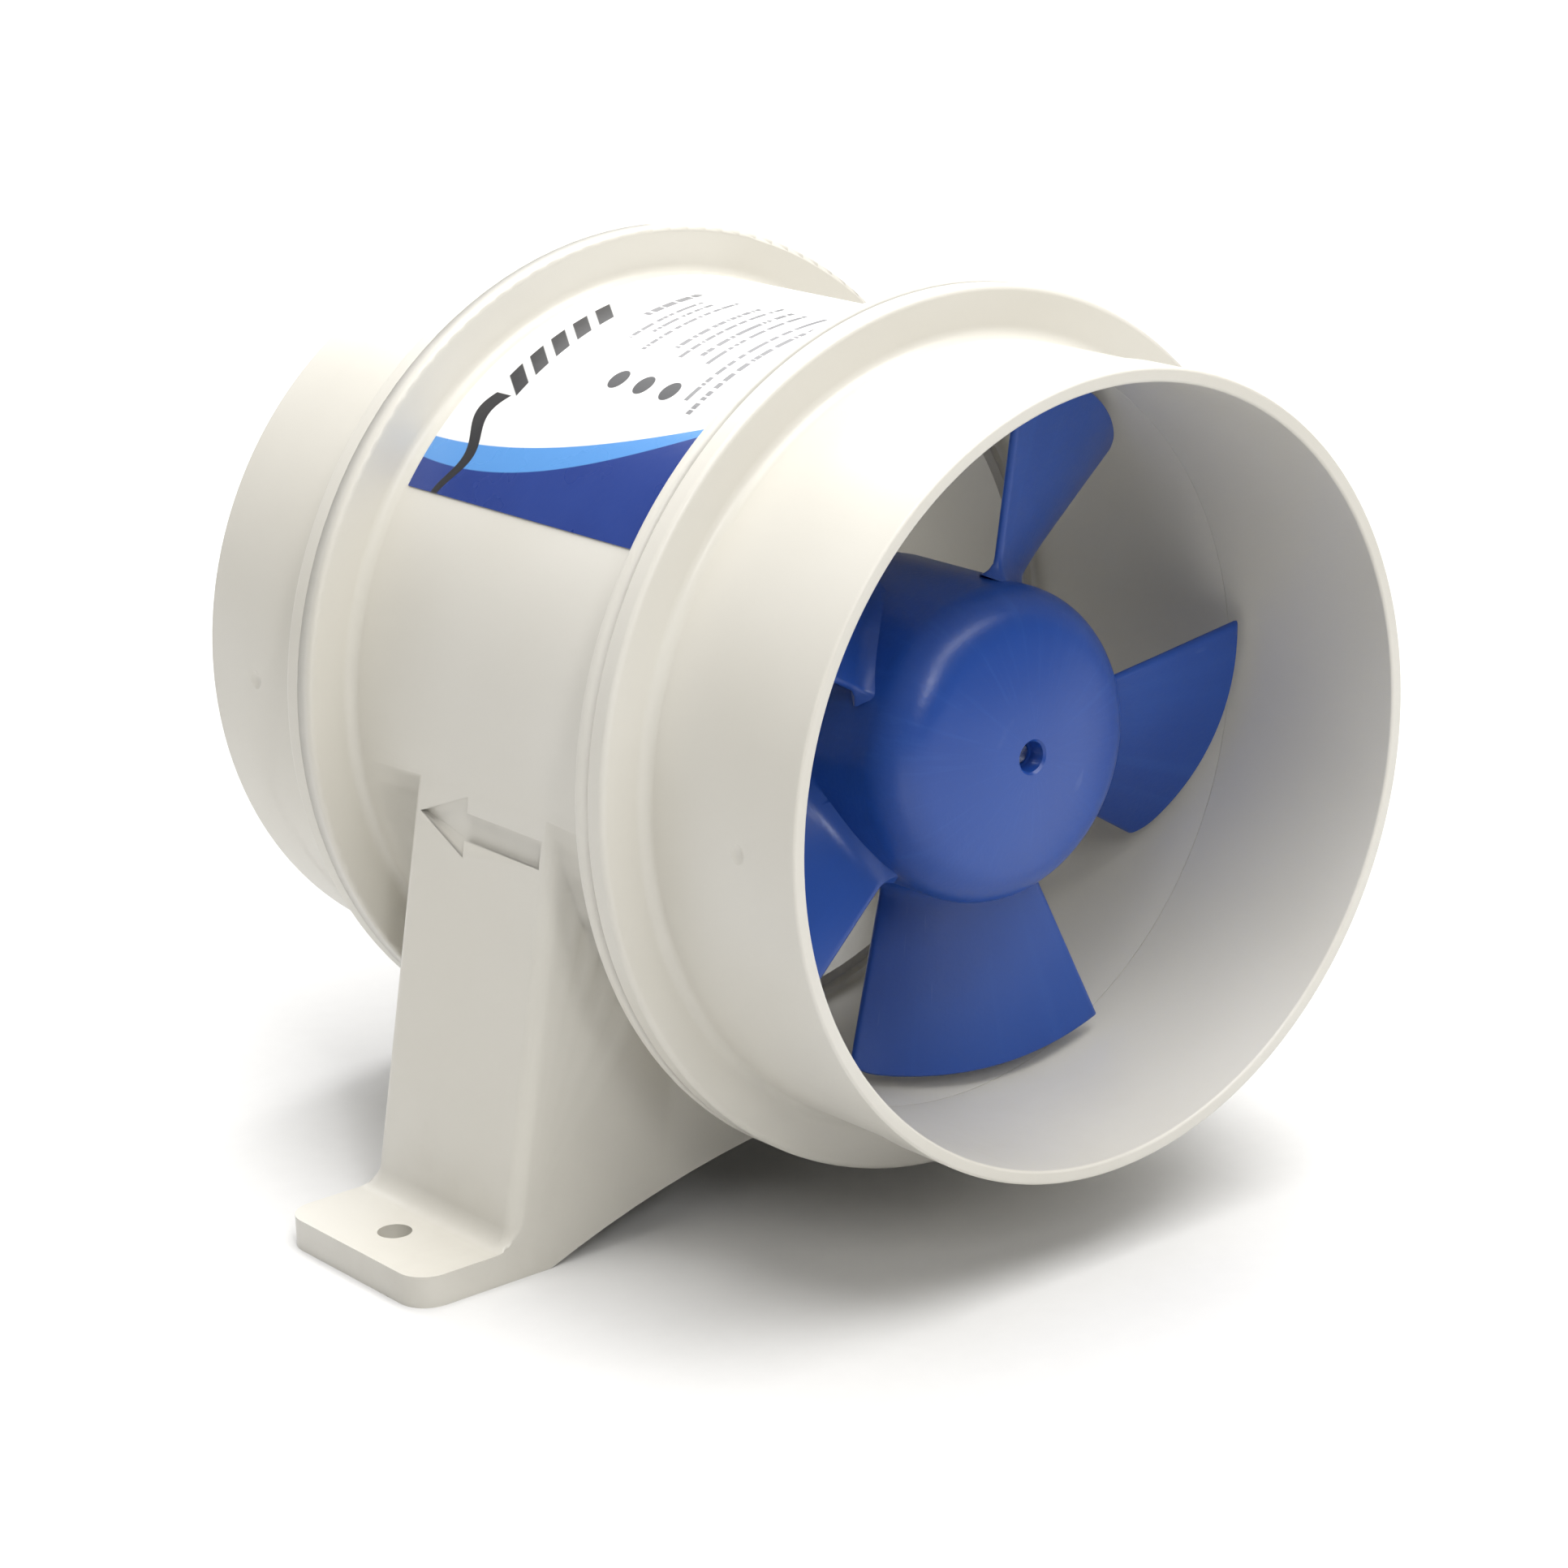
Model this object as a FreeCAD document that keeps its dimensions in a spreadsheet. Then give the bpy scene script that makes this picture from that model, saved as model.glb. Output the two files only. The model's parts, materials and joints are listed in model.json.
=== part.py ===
"""In-line duct fan for 4-inch ventilation hose, as a parametric document (millimetres).

The air path runs along Y: the inlet faces -Y and air leaves towards +Y.  +Z is up.  The origin is the
centre of the base that the two feet stand on.  Every body is drawn in one working frame that looks along
the duct: local X is the part's X, local Z is the part's Y (a place along the duct, negative on the inlet
side), and local Y points down from the duct's axis.
"""
import FreeCAD, Part
import math
import os
import Sketcher

SIZES = {
    # duct, spigots and shoulders
    "duct_length": 125.0,
    "spigot_outer": 102.0,
    "spigot_wall": 1.8,
    "hose_lip_length": 8.4,
    "hose_lip_step": 0.25,
    "hose_lip_ramp": 1.2,
    "shoulder_rise": 6.3,
    "shoulder_gap": 57.0,
    "shoulder_width": 5.8,
    "shoulder_root": 1.6,
    "edge_round": 0.8,
    "rim_round": 0.4,
    "tongue_length": 1.5,
    "glue_gap": 0.1,
    "dimple_width": 2.6,
    "dimple_depth": 0.35,
    "dimple_inset": 10.8,
    "dimple_count": 4,
    # barrel
    "barrel_step": 0.3,
    "barrel_wall": 2.0,
    "lead_in_length": 5.0,
    "cradle_stop_rise": 0.8,
    "cradle_stop_width": 1.5,
    # pedestal and feet
    "base_clearance": 12.7,
    "pedestal_length": 30.6,
    "pedestal_wall": 2.6,
    "flank_top_drop": 4.0,
    "flank_top_inset": 0.4,
    "flank_spread": 9.8,
    "lug_length": 14.0,
    "foot_thickness": 4.2,
    "foot_hole": 4.5,
    "foot_hole_reach": 7.0,
    "foot_corner": 4.0,
    "foot_root": 3.0,
    "flank_round": 2.0,
    "arch_inset": 6.3,
    "arch_rise": 10.0,
    # airflow arrow sunk in the left flank
    "arrow_length": 26.0,
    "arrow_head_length": 10.0,
    "arrow_head_width": 8.0,
    "arrow_shaft_width": 3.6,
    "arrow_depth": 0.9,
    "arrow_drop": 9.5,
    # lead: grommet in the pedestal's rear wall, and the way from the duct into the pedestal
    "grommet_hole": 9.0,
    "grommet_bore": 5.0,
    "grommet_flange": 12.0,
    "grommet_flange_thickness": 1.3,
    "grommet_gap": 0.1,
    "grommet_across": 37.0,
    "grommet_height": 16.5,
    "lead_pass": 6.0,
    "lead_pass_across": 30.0,
    # motor
    "motor_outer": 36.0,
    "motor_front": -13.0,
    "motor_can_length": 48.0,
    "motor_can_wall": 1.0,
    "motor_can_round": 0.8,
    "motor_nose_outer": 10.0,
    "motor_nose_length": 3.0,
    "bush_outer": 7.0,
    "bush_length": 5.0,
    "shaft_width": 3.2,
    "shaft_chamfer": 0.3,
    "running_gap": 0.03,
    "press_gap": 0.02,
    "axial_play": 0.3,
    "end_cap_thickness": 2.5,
    "end_cap_plug": 2.0,
    "end_cap_plug_wall": 1.5,
    "end_cap_gap": 0.1,
    "screw_thread": 3.0,
    "screw_head": 5.6,
    "screw_length": 5.5,
    "screw_spacing": 25.0,
    "screw_gap": 0.1,
    "washer_outer": 6.4,
    "washer_thickness": 0.8,
    # field
    "magnet_thickness": 4.4,
    "magnet_angle": 128.0,
    "magnet_length": 26.0,
    "magnet_front": -5.0,
    "magnet_gap": 0.1,
    "magnet_spring_thickness": 0.6,
    "magnet_spring_angle": 44.0,
    # armature
    "air_gap": 1.0,
    "core_length": 22.0,
    "core_front": -3.0,
    "slot_count": 5,
    "slot_depth": 4.1,
    "slot_width": 5.6,
    "slot_mouth": 2.0,
    "coil_gap": 0.25,
    "end_turn_length": 4.5,
    "end_turn_inset": 1.3,
    "end_turn_inner": 6.0,
    "end_turn_round": 1.5,
    "commutator_outer": 9.0,
    "commutator_front": 24.2,
    "commutator_length": 8.0,
    "commutator_riser": 1.0,
    # brush gear
    "brush_width": 4.0,
    "brush_length": 5.0,
    "brush_gap": 0.15,
    "brush_face_gap": 0.3,
    "brush_station": 28.2,
    "holder_wall": 0.6,
    "holder_inner_end": 6.2,
    "holder_end_gap": 1.8,
    "post_inset": 1.0,
    "spring_wire": 0.4,
    "spring_coil": 3.0,
    "spring_turns": 4,
    "spring_gap": 0.1,
    "terminal_width": 4.8,
    "terminal_thickness": 0.8,
    "terminal_across": 11.0,
    "terminal_length": 8.0,
    "suppressor_width": 7.0,
    "suppressor_thickness": 2.4,
    "suppressor_lead": 0.8,
    "suppressor_inset": 1.5,
    # cradle and its cover
    "cradle_sleeve_wall": 2.2,
    "sleeve_gap": 0.2,
    "cradle_plate": 2.5,
    "cradle_ring_front": 6.0,
    "cradle_ring_wall": 2.0,
    "cradle_ring_gap": 0.2,
    "vane_count": 4,
    "vane_thickness": 2.2,
    "vane_front": 8.0,
    "vane_length": 19.0,
    "collar_stop_rise": 1.8,
    "collar_stop_width": 1.4,
    "cover_gap": 0.15,
    "cover_wall": 1.6,
    "cover_length": 18.0,
    "cover_overlap": 3.5,
    "cover_crown": 8.0,
    "cover_knuckle": 2.4,
    # impeller
    "hub_outer": 41.2,
    "hub_wall": 2.0,
    "hub_nose": -47.6,
    "hub_rear": -17.4,
    "hub_crown": 3.4,
    "hub_knuckle": 7.0,
    "hub_boss": 10.4,
    "hub_boss_rear": -19.6,
    "nose_hole": 4.0,
    "shaft_recess": 2.6,
    "rib_thickness": 1.4,
    "blade_count": 5,
    "blade_station": -30.4,
    "blade_depth": 13.0,
    "blade_span": 40.0,
    "blade_middle": 1.9,
    "blade_edge": 1.0,
    "blade_camber": 0.06,
    "blade_root_radius": 13.0,
    "blade_tip_reach": 4.5,
    "blade_tip_depth": 2.8,
    "tip_gap": 1.7,
    # sticker
    "label_thickness": 0.15,
    "label_gap": 0.02,
    "label_length": 53.0,
    "label_angle": 70.0,
}

IMPELLER_TURN = 12.0
VANE_TURN = 45.0
LABEL_TURN = -109.5
MAGNET_SPRING_TURN = -90.0
SMALLEST_CHANGE = 1e-6   # a feature that changes less volume than this did nothing
MATCH = 0.01             # how near two places are when they count as the same
PAST = 3                 # a cut that has to leave its piece runs this many times what it cuts


class Term:
    """A size with its place in the sheet: a number now, and the expression that keeps it current."""

    def __init__(self, text, value):
        self.text = text
        self.value = float(value)

    def join(self, other, sign, value):
        other = term(other)
        return Term(f"({self.text} {sign} {other.text})", value(self.value, other.value))

    def __add__(self, other):
        return self.join(other, "+", lambda a, b: a + b)

    def __sub__(self, other):
        return self.join(other, "-", lambda a, b: a - b)

    def __mul__(self, other):
        return self.join(other, "*", lambda a, b: a * b)

    def __truediv__(self, other):
        return self.join(other, "/", lambda a, b: a / b)

    def __radd__(self, other):
        return term(other) + self

    def __rsub__(self, other):
        return term(other) - self

    def __rmul__(self, other):
        return term(other) * self

    def __neg__(self):
        return Term(f"(0 - {self.text})", -self.value)


def term(number):
    if isinstance(number, Term):
        return number
    return Term(f"({number})", number)


def root(size):
    return Term(f"sqrt({size.text})", math.sqrt(size.value))


def tangent(size):
    return Term(f"tan({size.text})", math.tan(math.radians(size.value)))


def angle_of(slope):
    return Term(f"atan({slope.text})", math.degrees(math.atan(slope.value)))


class Sheet:
    """The driving sizes, kept in the document's spreadsheet; sheet.word is the Term of one size."""

    def __init__(self, document):
        page = document.addObject("Spreadsheet::Sheet", "Sizes")
        self.names = dict(SIZES)
        for row, (word, value) in enumerate(SIZES.items(), start=1):
            page.set(f"A{row}", word)
            page.set(f"B{row}", str(value))
            page.setAlias(f"B{row}", word)

    def __getattr__(self, word):
        return Term(f"Sizes.{word}", self.__dict__["names"][word])


doc = FreeCAD.newDocument("duct_fan")
size = Sheet(doc)
doc.recompute()

# Places and radii that several pieces share.
spigot_radius = size.spigot_outer / 2
duct_radius = spigot_radius - size.spigot_wall
shoulder_radius = spigot_radius + size.shoulder_rise
barrel_radius = spigot_radius - size.barrel_step
bore_radius = barrel_radius - size.barrel_wall
axis_height = barrel_radius + size.base_clearance
half_flank = barrel_radius + size.flank_spread
mouth_station = size.duct_length / 2
shoulder_inner = size.shoulder_gap / 2
shoulder_outer_face = shoulder_inner + size.shoulder_width
seam_station = shoulder_inner + size.shoulder_width / 2
barrel_end = seam_station + size.tongue_length
motor_radius = size.motor_outer / 2
can_bore = motor_radius - size.motor_can_wall
motor_rear = size.motor_front + size.motor_can_length
motor_end = motor_rear + size.end_cap_thickness
shaft_radius = size.shaft_width / 2
bush_radius = size.bush_outer / 2
sleeve_bore = motor_radius + size.sleeve_gap
sleeve_radius = sleeve_bore + size.cradle_sleeve_wall
plate_front = size.motor_front - size.cradle_plate
nose_front = size.motor_front - size.motor_nose_length
shaft_front = size.hub_nose + size.shaft_recess
hub_radius = size.hub_outer / 2
hub_bore = hub_radius - size.hub_wall
boss_radius = size.hub_boss / 2
magnet_inner = can_bore - size.magnet_gap - size.magnet_thickness
core_radius = magnet_inner - size.air_gap
slot_radius = core_radius - size.slot_depth
holder_end = can_bore - size.holder_end_gap
brush_face = size.commutator_outer / 2 + size.brush_face_gap
holder_bore = size.brush_width / 2 + size.brush_gap
holder_side = holder_bore + size.holder_wall


# ---------------------------------------------------------------- drawing helpers

def new_body(name, turn=0.0):
    """A body in the working frame, turned about the duct's axis by turn degrees."""
    body = doc.addObject("PartDesign::Body", name)
    body.Label = name
    look_along = FreeCAD.Rotation(FreeCAD.Vector(1, 0, 0), -90)
    about_axis = FreeCAD.Rotation(FreeCAD.Vector(0, 0, 1), turn)
    body.Placement = FreeCAD.Placement(FreeCAD.Vector(), look_along * about_axis)
    body.setExpression("Placement.Base.z", axis_height.text)
    return body


def new_sketch(body, role, shift=(0, 0, 0), turn=0, about=(0, 0, 1)):
    """A sketch on one of the body's origin planes, shifted and turned in that plane's own axes."""
    sketch = body.newObject("Sketcher::SketchObject", f"{body.Name}_outline")
    plane = next(item for item in body.Origin.OriginFeatures if item.Role == role)
    sketch.AttachmentSupport = [(plane, "")]
    sketch.MapMode = "FlatFace"
    place = [term(value) for value in shift]
    base = FreeCAD.Vector(*[value.value for value in place])
    angle = term(turn)
    rotation = FreeCAD.Rotation(FreeCAD.Vector(*about), angle.value)
    sketch.AttachmentOffset = FreeCAD.Placement(base, rotation)
    for letter, value in zip("xyz", place):
        if value.value:
            sketch.setExpression(f"AttachmentOffset.Base.{letter}", value.text)
    if angle.value:
        sketch.setExpression("AttachmentOffset.Rotation.Angle", angle.text)
    return sketch


def constrain(sketch, kind, references, value):
    index = sketch.addConstraint(Sketcher.Constraint(kind, *references, value.value))
    sketch.setExpression(f"Constraints[{index}]", value.text)


def tie_point(sketch, side, end, across, along):
    """Hold one end of a side at two sizes, measured from the sketch's own origin."""
    for kind, axis, value in (("DistanceX", -2, across), ("DistanceY", -1, along)):
        if value.value == 0:
            sketch.addConstraint(Sketcher.Constraint("PointOnObject", side, end, axis))
        else:
            constrain(sketch, kind, (-1, 1, side, end), value)


def arc_middle(start, finish, radius, bulge):
    """The middle of an arc between two points; bulge is +1 to the left of the way, -1 to the right."""
    chord = finish - start
    half = chord.Length / 2
    rise = radius - math.sqrt(radius * radius - half * half)
    left = FreeCAD.Vector(-chord.y, chord.x, 0).normalize()
    return (start + finish) / 2 + left * (rise * bulge)


def draw_outline(sketch, corners):
    """A closed outline; a corner is (x, y), or (x, y, radius, bulge) where an arc leaves it."""
    points = [FreeCAD.Vector(term(corner[0]).value, term(corner[1]).value, 0) for corner in corners]
    following = points[1:] + points[:1]
    sides = []
    for corner, start, finish in zip(corners, points, following):
        if len(corner) == 2:
            sides.append((sketch.addGeometry(Part.LineSegment(start, finish)), 1, 2))
            continue
        middle = arc_middle(start, finish, corner[2].value, corner[3])
        if corner[3] > 0:
            sides.append((sketch.addGeometry(Part.Arc(finish, middle, start)), 2, 1))
        else:
            sides.append((sketch.addGeometry(Part.Arc(start, middle, finish)), 1, 2))
    for (side, _, end), (after, begin, _) in zip(sides, sides[1:] + sides[:1]):
        sketch.addConstraint(Sketcher.Constraint("Coincident", side, end, after, begin))
    for corner, (side, begin, _) in zip(corners, sides):
        tie_point(sketch, side, begin, term(corner[0]), term(corner[1]))
        if len(corner) > 2:
            constrain(sketch, "Radius", (side,), corner[2])
    return sketch


def draw_circle(sketch, across, along, radius):
    centre = FreeCAD.Vector(term(across).value, term(along).value, 0)
    circle = Part.Circle(centre, FreeCAD.Vector(0, 0, 1), radius.value)
    side = sketch.addGeometry(circle)
    tie_point(sketch, side, 3, term(across), term(along))
    constrain(sketch, "Radius", (side,), radius)
    return sketch


def draw_box(sketch, left, right, low, high):
    return draw_outline(sketch, [(left, low), (right, low), (right, high), (left, high)])


def add_feature(body, kind, sketch):
    feature = body.newObject(f"PartDesign::{kind}", f"{body.Name}_{kind.lower()}")
    feature.Profile = sketch
    sketch.Visibility = False
    return feature


def extrude(body, kind, sketch, length, symmetric=False, reverse=False):
    """A Pad or a Pocket of a sketch; a Pocket runs against the sketch's normal unless reversed."""
    before = body.Shape.Volume if body.Tip else 0.0
    feature = add_feature(body, kind, sketch)
    feature.setExpression("Length", term(length).text)
    feature.SideType = "Symmetric" if symmetric else "One side"
    feature.Reversed = reverse
    doc.recompute()
    changed = body.Shape.Volume - before
    if abs(changed) < SMALLEST_CHANGE:
        raise RuntimeError(f"{feature.Name} changed nothing")
    return feature


def spin(body, kind, sketch, angle=None):
    """A Revolution or a Groove of a sketch about the duct's axis."""
    before = body.Shape.Volume if body.Tip else 0.0
    feature = add_feature(body, kind, sketch)
    feature.ReferenceAxis = (sketch, ["V_Axis"])
    if angle is None:
        feature.Angle = 360
    else:
        feature.Midplane = True
        feature.setExpression("Angle", angle.text)
    doc.recompute()
    if abs(body.Shape.Volume - before) < SMALLEST_CHANGE:
        raise RuntimeError(f"{feature.Name} changed nothing")
    return feature


def ring_section(body, kind, corners, angle=None):
    """Spin an outline given as (radius, place along the duct)."""
    return spin(body, kind, draw_outline(new_sketch(body, "XZ_Plane"), corners), angle)


def repeat_round(body, features, count):
    """Repeat features round the duct's axis."""
    pattern = body.newObject("PartDesign::PolarPattern", f"{body.Name}_round")
    pattern.Originals = features
    axis = next(item for item in body.Origin.OriginFeatures if item.Role == "Z_Axis")
    pattern.Axis = (axis, [""])
    pattern.Angle = 360
    pattern.setExpression("Occurrences", count.text)
    body.Tip = pattern
    doc.recompute()
    return pattern


def soften(body, kind, chosen, radius):
    """A Fillet or a Chamfer on the edges that chosen(edge) picks; every one of them has to exist."""
    tip = body.Tip
    names = [f"Edge{n}" for n, edge in enumerate(tip.Shape.Edges, start=1) if chosen(edge)]
    if not names:
        raise RuntimeError(f"{body.Name}: no edge found to soften")
    feature = body.newObject(f"PartDesign::{kind}", f"{body.Name}_{kind.lower()}")
    feature.Base = (tip, names)
    feature.setExpression("Radius" if kind == "Fillet" else "Size", term(radius).text)
    doc.recompute()
    if feature.Shape.isNull():
        raise RuntimeError(f"{feature.Name} failed")
    return feature


def is_ring(edge, radius, station):
    """True for a circle of that radius about the duct's axis at that place along it."""
    if edge.Degenerated or not isinstance(edge.Curve, Part.Circle):
        return False
    curve = edge.Curve
    centred = math.hypot(curve.Center.x, curve.Center.y) < MATCH
    same_size = abs(curve.Radius - radius.value) < MATCH
    return centred and same_size and abs(curve.Center.z - station.value) < MATCH


def any_ring(*places):
    return lambda edge: any(is_ring(edge, radius, station) for radius, station in places)


# ---------------------------------------------------------------- white mouldings

def make_barrel_housing():
    """Barrel with its end flanges, on a hollow pedestal with an arched foot and two lugs."""
    body = new_body("barrel_housing")
    half_foot = half_flank + size.lug_length
    half_top = barrel_radius - size.flank_top_inset
    half_arch = half_flank - size.arch_inset
    base = axis_height
    lug_top = base - size.foot_thickness
    arch_radius = (half_arch * half_arch + size.arch_rise * size.arch_rise) / (2 * size.arch_rise)
    outline = [(-half_foot, base), (-half_foot, lug_top), (-half_flank, lug_top),
               (-half_top, size.flank_top_drop), (half_top, size.flank_top_drop), (half_flank, lug_top),
               (half_foot, lug_top), (half_foot, base), (half_arch, base, arch_radius, 1),
               (-half_arch, base)]
    extrude(body, "Pad", draw_outline(new_sketch(body, "XY_Plane"), outline), size.pedestal_length,
            symmetric=True)
    soften_pedestal(body, half_foot, lug_top)
    hollow_pedestal(body, half_top)
    bore = draw_circle(new_sketch(body, "XY_Plane"), 0, 0, bore_radius)
    extrude(body, "Pocket", bore, size.duct_length, symmetric=True)
    stop_radius = bore_radius - size.cradle_stop_rise
    stop_front = size.cradle_ring_front - size.cradle_stop_width
    ring_section(body, "Revolution", [
        (bore_radius, size.lead_in_length - barrel_end), (duct_radius, -barrel_end),
        (barrel_radius, -barrel_end), (barrel_radius, -seam_station),
        (shoulder_radius, -seam_station), (shoulder_radius, -shoulder_inner),
        (barrel_radius, -shoulder_inner), (barrel_radius, shoulder_inner),
        (shoulder_radius, shoulder_inner), (shoulder_radius, seam_station),
        (barrel_radius, seam_station), (barrel_radius, barrel_end), (bore_radius, barrel_end),
        (bore_radius, size.cradle_ring_front), (stop_radius, size.cradle_ring_front),
        (stop_radius, stop_front), (bore_radius, stop_front - size.cradle_stop_rise)])
    soften(body, "Fillet", any_ring((barrel_radius, shoulder_inner), (barrel_radius, -shoulder_inner)),
           size.shoulder_root)
    soften(body, "Fillet", any_ring((shoulder_radius, shoulder_inner), (shoulder_radius, -shoulder_inner)),
           size.edge_round)
    foot_holes = new_sketch(body, "XZ_Plane")
    for side in (-1, 1):
        draw_circle(foot_holes, side * (half_flank + size.foot_hole_reach), 0, size.foot_hole / 2)
    extrude(body, "Pocket", foot_holes, PAST * axis_height, symmetric=True)
    cut_lead_way(body)
    cut_arrow(body, half_top, lug_top)
    return body


def soften_pedestal(body, half_foot, lug_top):
    """Round the lugs' corners and the upright edges, and fillet each flank into its lug."""
    def upright_at(edge, across, drop):
        box = edge.BoundBox
        same_side = abs(abs(box.XMin) - across.value) < MATCH and abs(abs(box.XMax) - across.value) < MATCH
        return same_side and abs(box.YMax - drop.value) < MATCH

    def lug_corner(edge):
        return upright_at(edge, half_foot, axis_height) and edge.BoundBox.ZLength < MATCH

    def lug_root(edge):
        long_enough = edge.BoundBox.ZLength > size.pedestal_length.value / 2
        return long_enough and upright_at(edge, half_flank, lug_top)

    def flank_edge(edge):
        box = edge.BoundBox
        slanted = box.XLength > MATCH and box.YLength > axis_height.value / 2
        return slanted and box.ZLength < MATCH

    soften(body, "Fillet", lug_corner, size.foot_corner)
    soften(body, "Fillet", flank_edge, size.flank_round)
    soften(body, "Fillet", lug_root, size.foot_root)


def hollow_pedestal(body, half_top):
    """Core the pedestal out from below, leaving its flanks and its two end walls."""
    wall = size.pedestal_wall
    top = size.flank_top_drop
    base = axis_height
    corners = [(-half_flank + wall, base + wall), (-half_flank + wall, base - size.foot_thickness),
               (-half_top + wall, top), (half_top - wall, top),
               (half_flank - wall, base - size.foot_thickness), (half_flank - wall, base + wall)]
    hollow = draw_outline(new_sketch(body, "XY_Plane"), corners)
    extrude(body, "Pocket", hollow, size.pedestal_length - 2 * wall, symmetric=True)


def cut_lead_way(body):
    """The grommet's hole in the rear wall, and the hole that leads from the duct into the pedestal."""
    rear = size.pedestal_length / 2
    hole = new_sketch(body, "XY_Plane", shift=(0, 0, rear))
    draw_circle(hole, size.grommet_across, axis_height - size.grommet_height, size.grommet_hole / 2)
    extrude(body, "Pocket", hole, size.pedestal_wall * PAST)
    way = draw_circle(new_sketch(body, "XZ_Plane"), size.lead_pass_across, 0, size.lead_pass / 2)
    extrude(body, "Pocket", way, barrel_radius)


def cut_arrow(body, half_top, lug_top):
    """A shallow arrow in the left flank that points the way the air goes."""
    lean = (half_flank - half_top) / (lug_top - size.flank_top_drop)
    lean_angle = angle_of(lean)
    surface = half_top + lean * (size.arrow_drop - size.flank_top_drop)
    sketch = new_sketch(body, "YZ_Plane", shift=(size.arrow_drop, 0, size.arrow_depth - surface),
                        turn=lean_angle, about=(0, 1, 0))
    tail = -size.arrow_length / 2
    neck = size.arrow_length / 2 - size.arrow_head_length
    tip = size.arrow_length / 2
    shaft = size.arrow_shaft_width / 2
    head = size.arrow_head_width / 2
    draw_outline(sketch, [(-shaft, tail), (shaft, tail), (shaft, neck), (head, neck), (0, tip),
                          (-head, neck), (-shaft, neck)])
    extrude(body, "Pocket", sketch, size.arrow_depth * PAST)


def make_collar(name, side, with_stop):
    """A hose spigot and its half of the shoulder; side is -1 at the inlet and +1 at the outlet."""
    body = new_body(name)
    behind_lip = spigot_radius - size.hose_lip_step
    lip_end = mouth_station - size.hose_lip_length
    socket = barrel_radius + size.glue_gap
    socket_end = barrel_end + size.glue_gap
    profile = [(duct_radius, mouth_station), (spigot_radius, mouth_station), (spigot_radius, lip_end),
               (behind_lip, lip_end - size.hose_lip_ramp), (behind_lip, shoulder_outer_face),
               (shoulder_radius, shoulder_outer_face), (shoulder_radius, seam_station),
               (socket, seam_station), (socket, socket_end)]
    if with_stop:
        stop = bore_radius - size.collar_stop_rise
        stop_end = socket_end + size.collar_stop_width
        profile += [(stop, socket_end), (stop, stop_end), (duct_radius, stop_end + size.collar_stop_rise)]
    else:
        profile += [(duct_radius, socket_end)]
    ring_section(body, "Revolution", [(radius, side * station) for radius, station in profile])
    soften(body, "Fillet", any_ring((behind_lip, side * shoulder_outer_face)), size.shoulder_root)
    soften(body, "Fillet", any_ring((shoulder_radius, side * shoulder_outer_face)), size.edge_round)
    rims = any_ring((duct_radius, side * mouth_station), (spigot_radius, side * mouth_station))
    soften(body, "Fillet", rims, size.rim_round)
    dimple = new_sketch(body, "YZ_Plane", shift=(0, 0, behind_lip - size.dimple_depth))
    draw_circle(dimple, 0, side * (mouth_station - size.dimple_inset), size.dimple_width / 2)
    cut = extrude(body, "Pocket", dimple, size.dimple_depth * PAST, reverse=True)
    repeat_round(body, [cut], size.dimple_count)
    return body


def make_cradle():
    """Sleeve round the motor, front plate, straight vanes and the ring that seats in the barrel."""
    body = new_body("motor_cradle")
    nose_way = size.motor_nose_outer / 2 + size.sleeve_gap
    sleeve_rear = size.vane_front + size.vane_length + size.cover_overlap
    ring_section(body, "Revolution", [
        (nose_way, plate_front), (sleeve_radius, plate_front), (sleeve_radius, sleeve_rear),
        (sleeve_bore, sleeve_rear), (sleeve_bore, size.motor_front), (nose_way, size.motor_front)])
    soften(body, "Fillet", any_ring((sleeve_radius, plate_front)), size.edge_round)
    ring_outer = bore_radius - size.cradle_ring_gap
    ring_inner = ring_outer - size.cradle_ring_wall
    bite = size.cradle_ring_wall / 2
    vane = new_sketch(body, "XY_Plane", shift=(0, 0, size.vane_front), turn=VANE_TURN)
    draw_box(vane, sleeve_radius - bite, ring_inner + bite, -size.vane_thickness / 2, size.vane_thickness / 2)
    pad = extrude(body, "Pad", vane, size.vane_length)
    repeat_round(body, [pad], size.vane_count)
    ring_section(body, "Revolution", [
        (ring_inner, size.cradle_ring_front), (ring_outer, size.cradle_ring_front),
        (ring_outer, barrel_end), (ring_inner, barrel_end)])
    drill_screw_holes(body, size.motor_front, size.cradle_plate)
    for side in (-1, 1):
        sink = new_sketch(body, "XZ_Plane", shift=(side * size.screw_spacing / 2, plate_front, 0))
        spin(body, "Groove", draw_outline(sketch=sink, corners=screw_head_outline(size.screw_gap)))
    return body


def drill_screw_holes(body, station, thickness):
    """Two clearance holes for the motor's screws, through a plate whose face is at that station."""
    holes = new_sketch(body, "XY_Plane", shift=(0, 0, station))
    for side in (-1, 1):
        draw_circle(holes, side * size.screw_spacing / 2, 0, size.screw_thread / 2 + size.screw_gap)
    extrude(body, "Pocket", holes, PAST * thickness, symmetric=True)


def screw_head_outline(slack):
    """Half of a countersunk head, its flat face at zero, with slack all round for the hole it sinks in."""
    wide = size.screw_head / 2 + slack
    narrow = size.screw_thread / 2 + slack
    depth = (size.screw_head - size.screw_thread) / 2
    return [(0, -slack), (wide, -slack), (wide, 0), (narrow, depth), (0, depth)]


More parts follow.
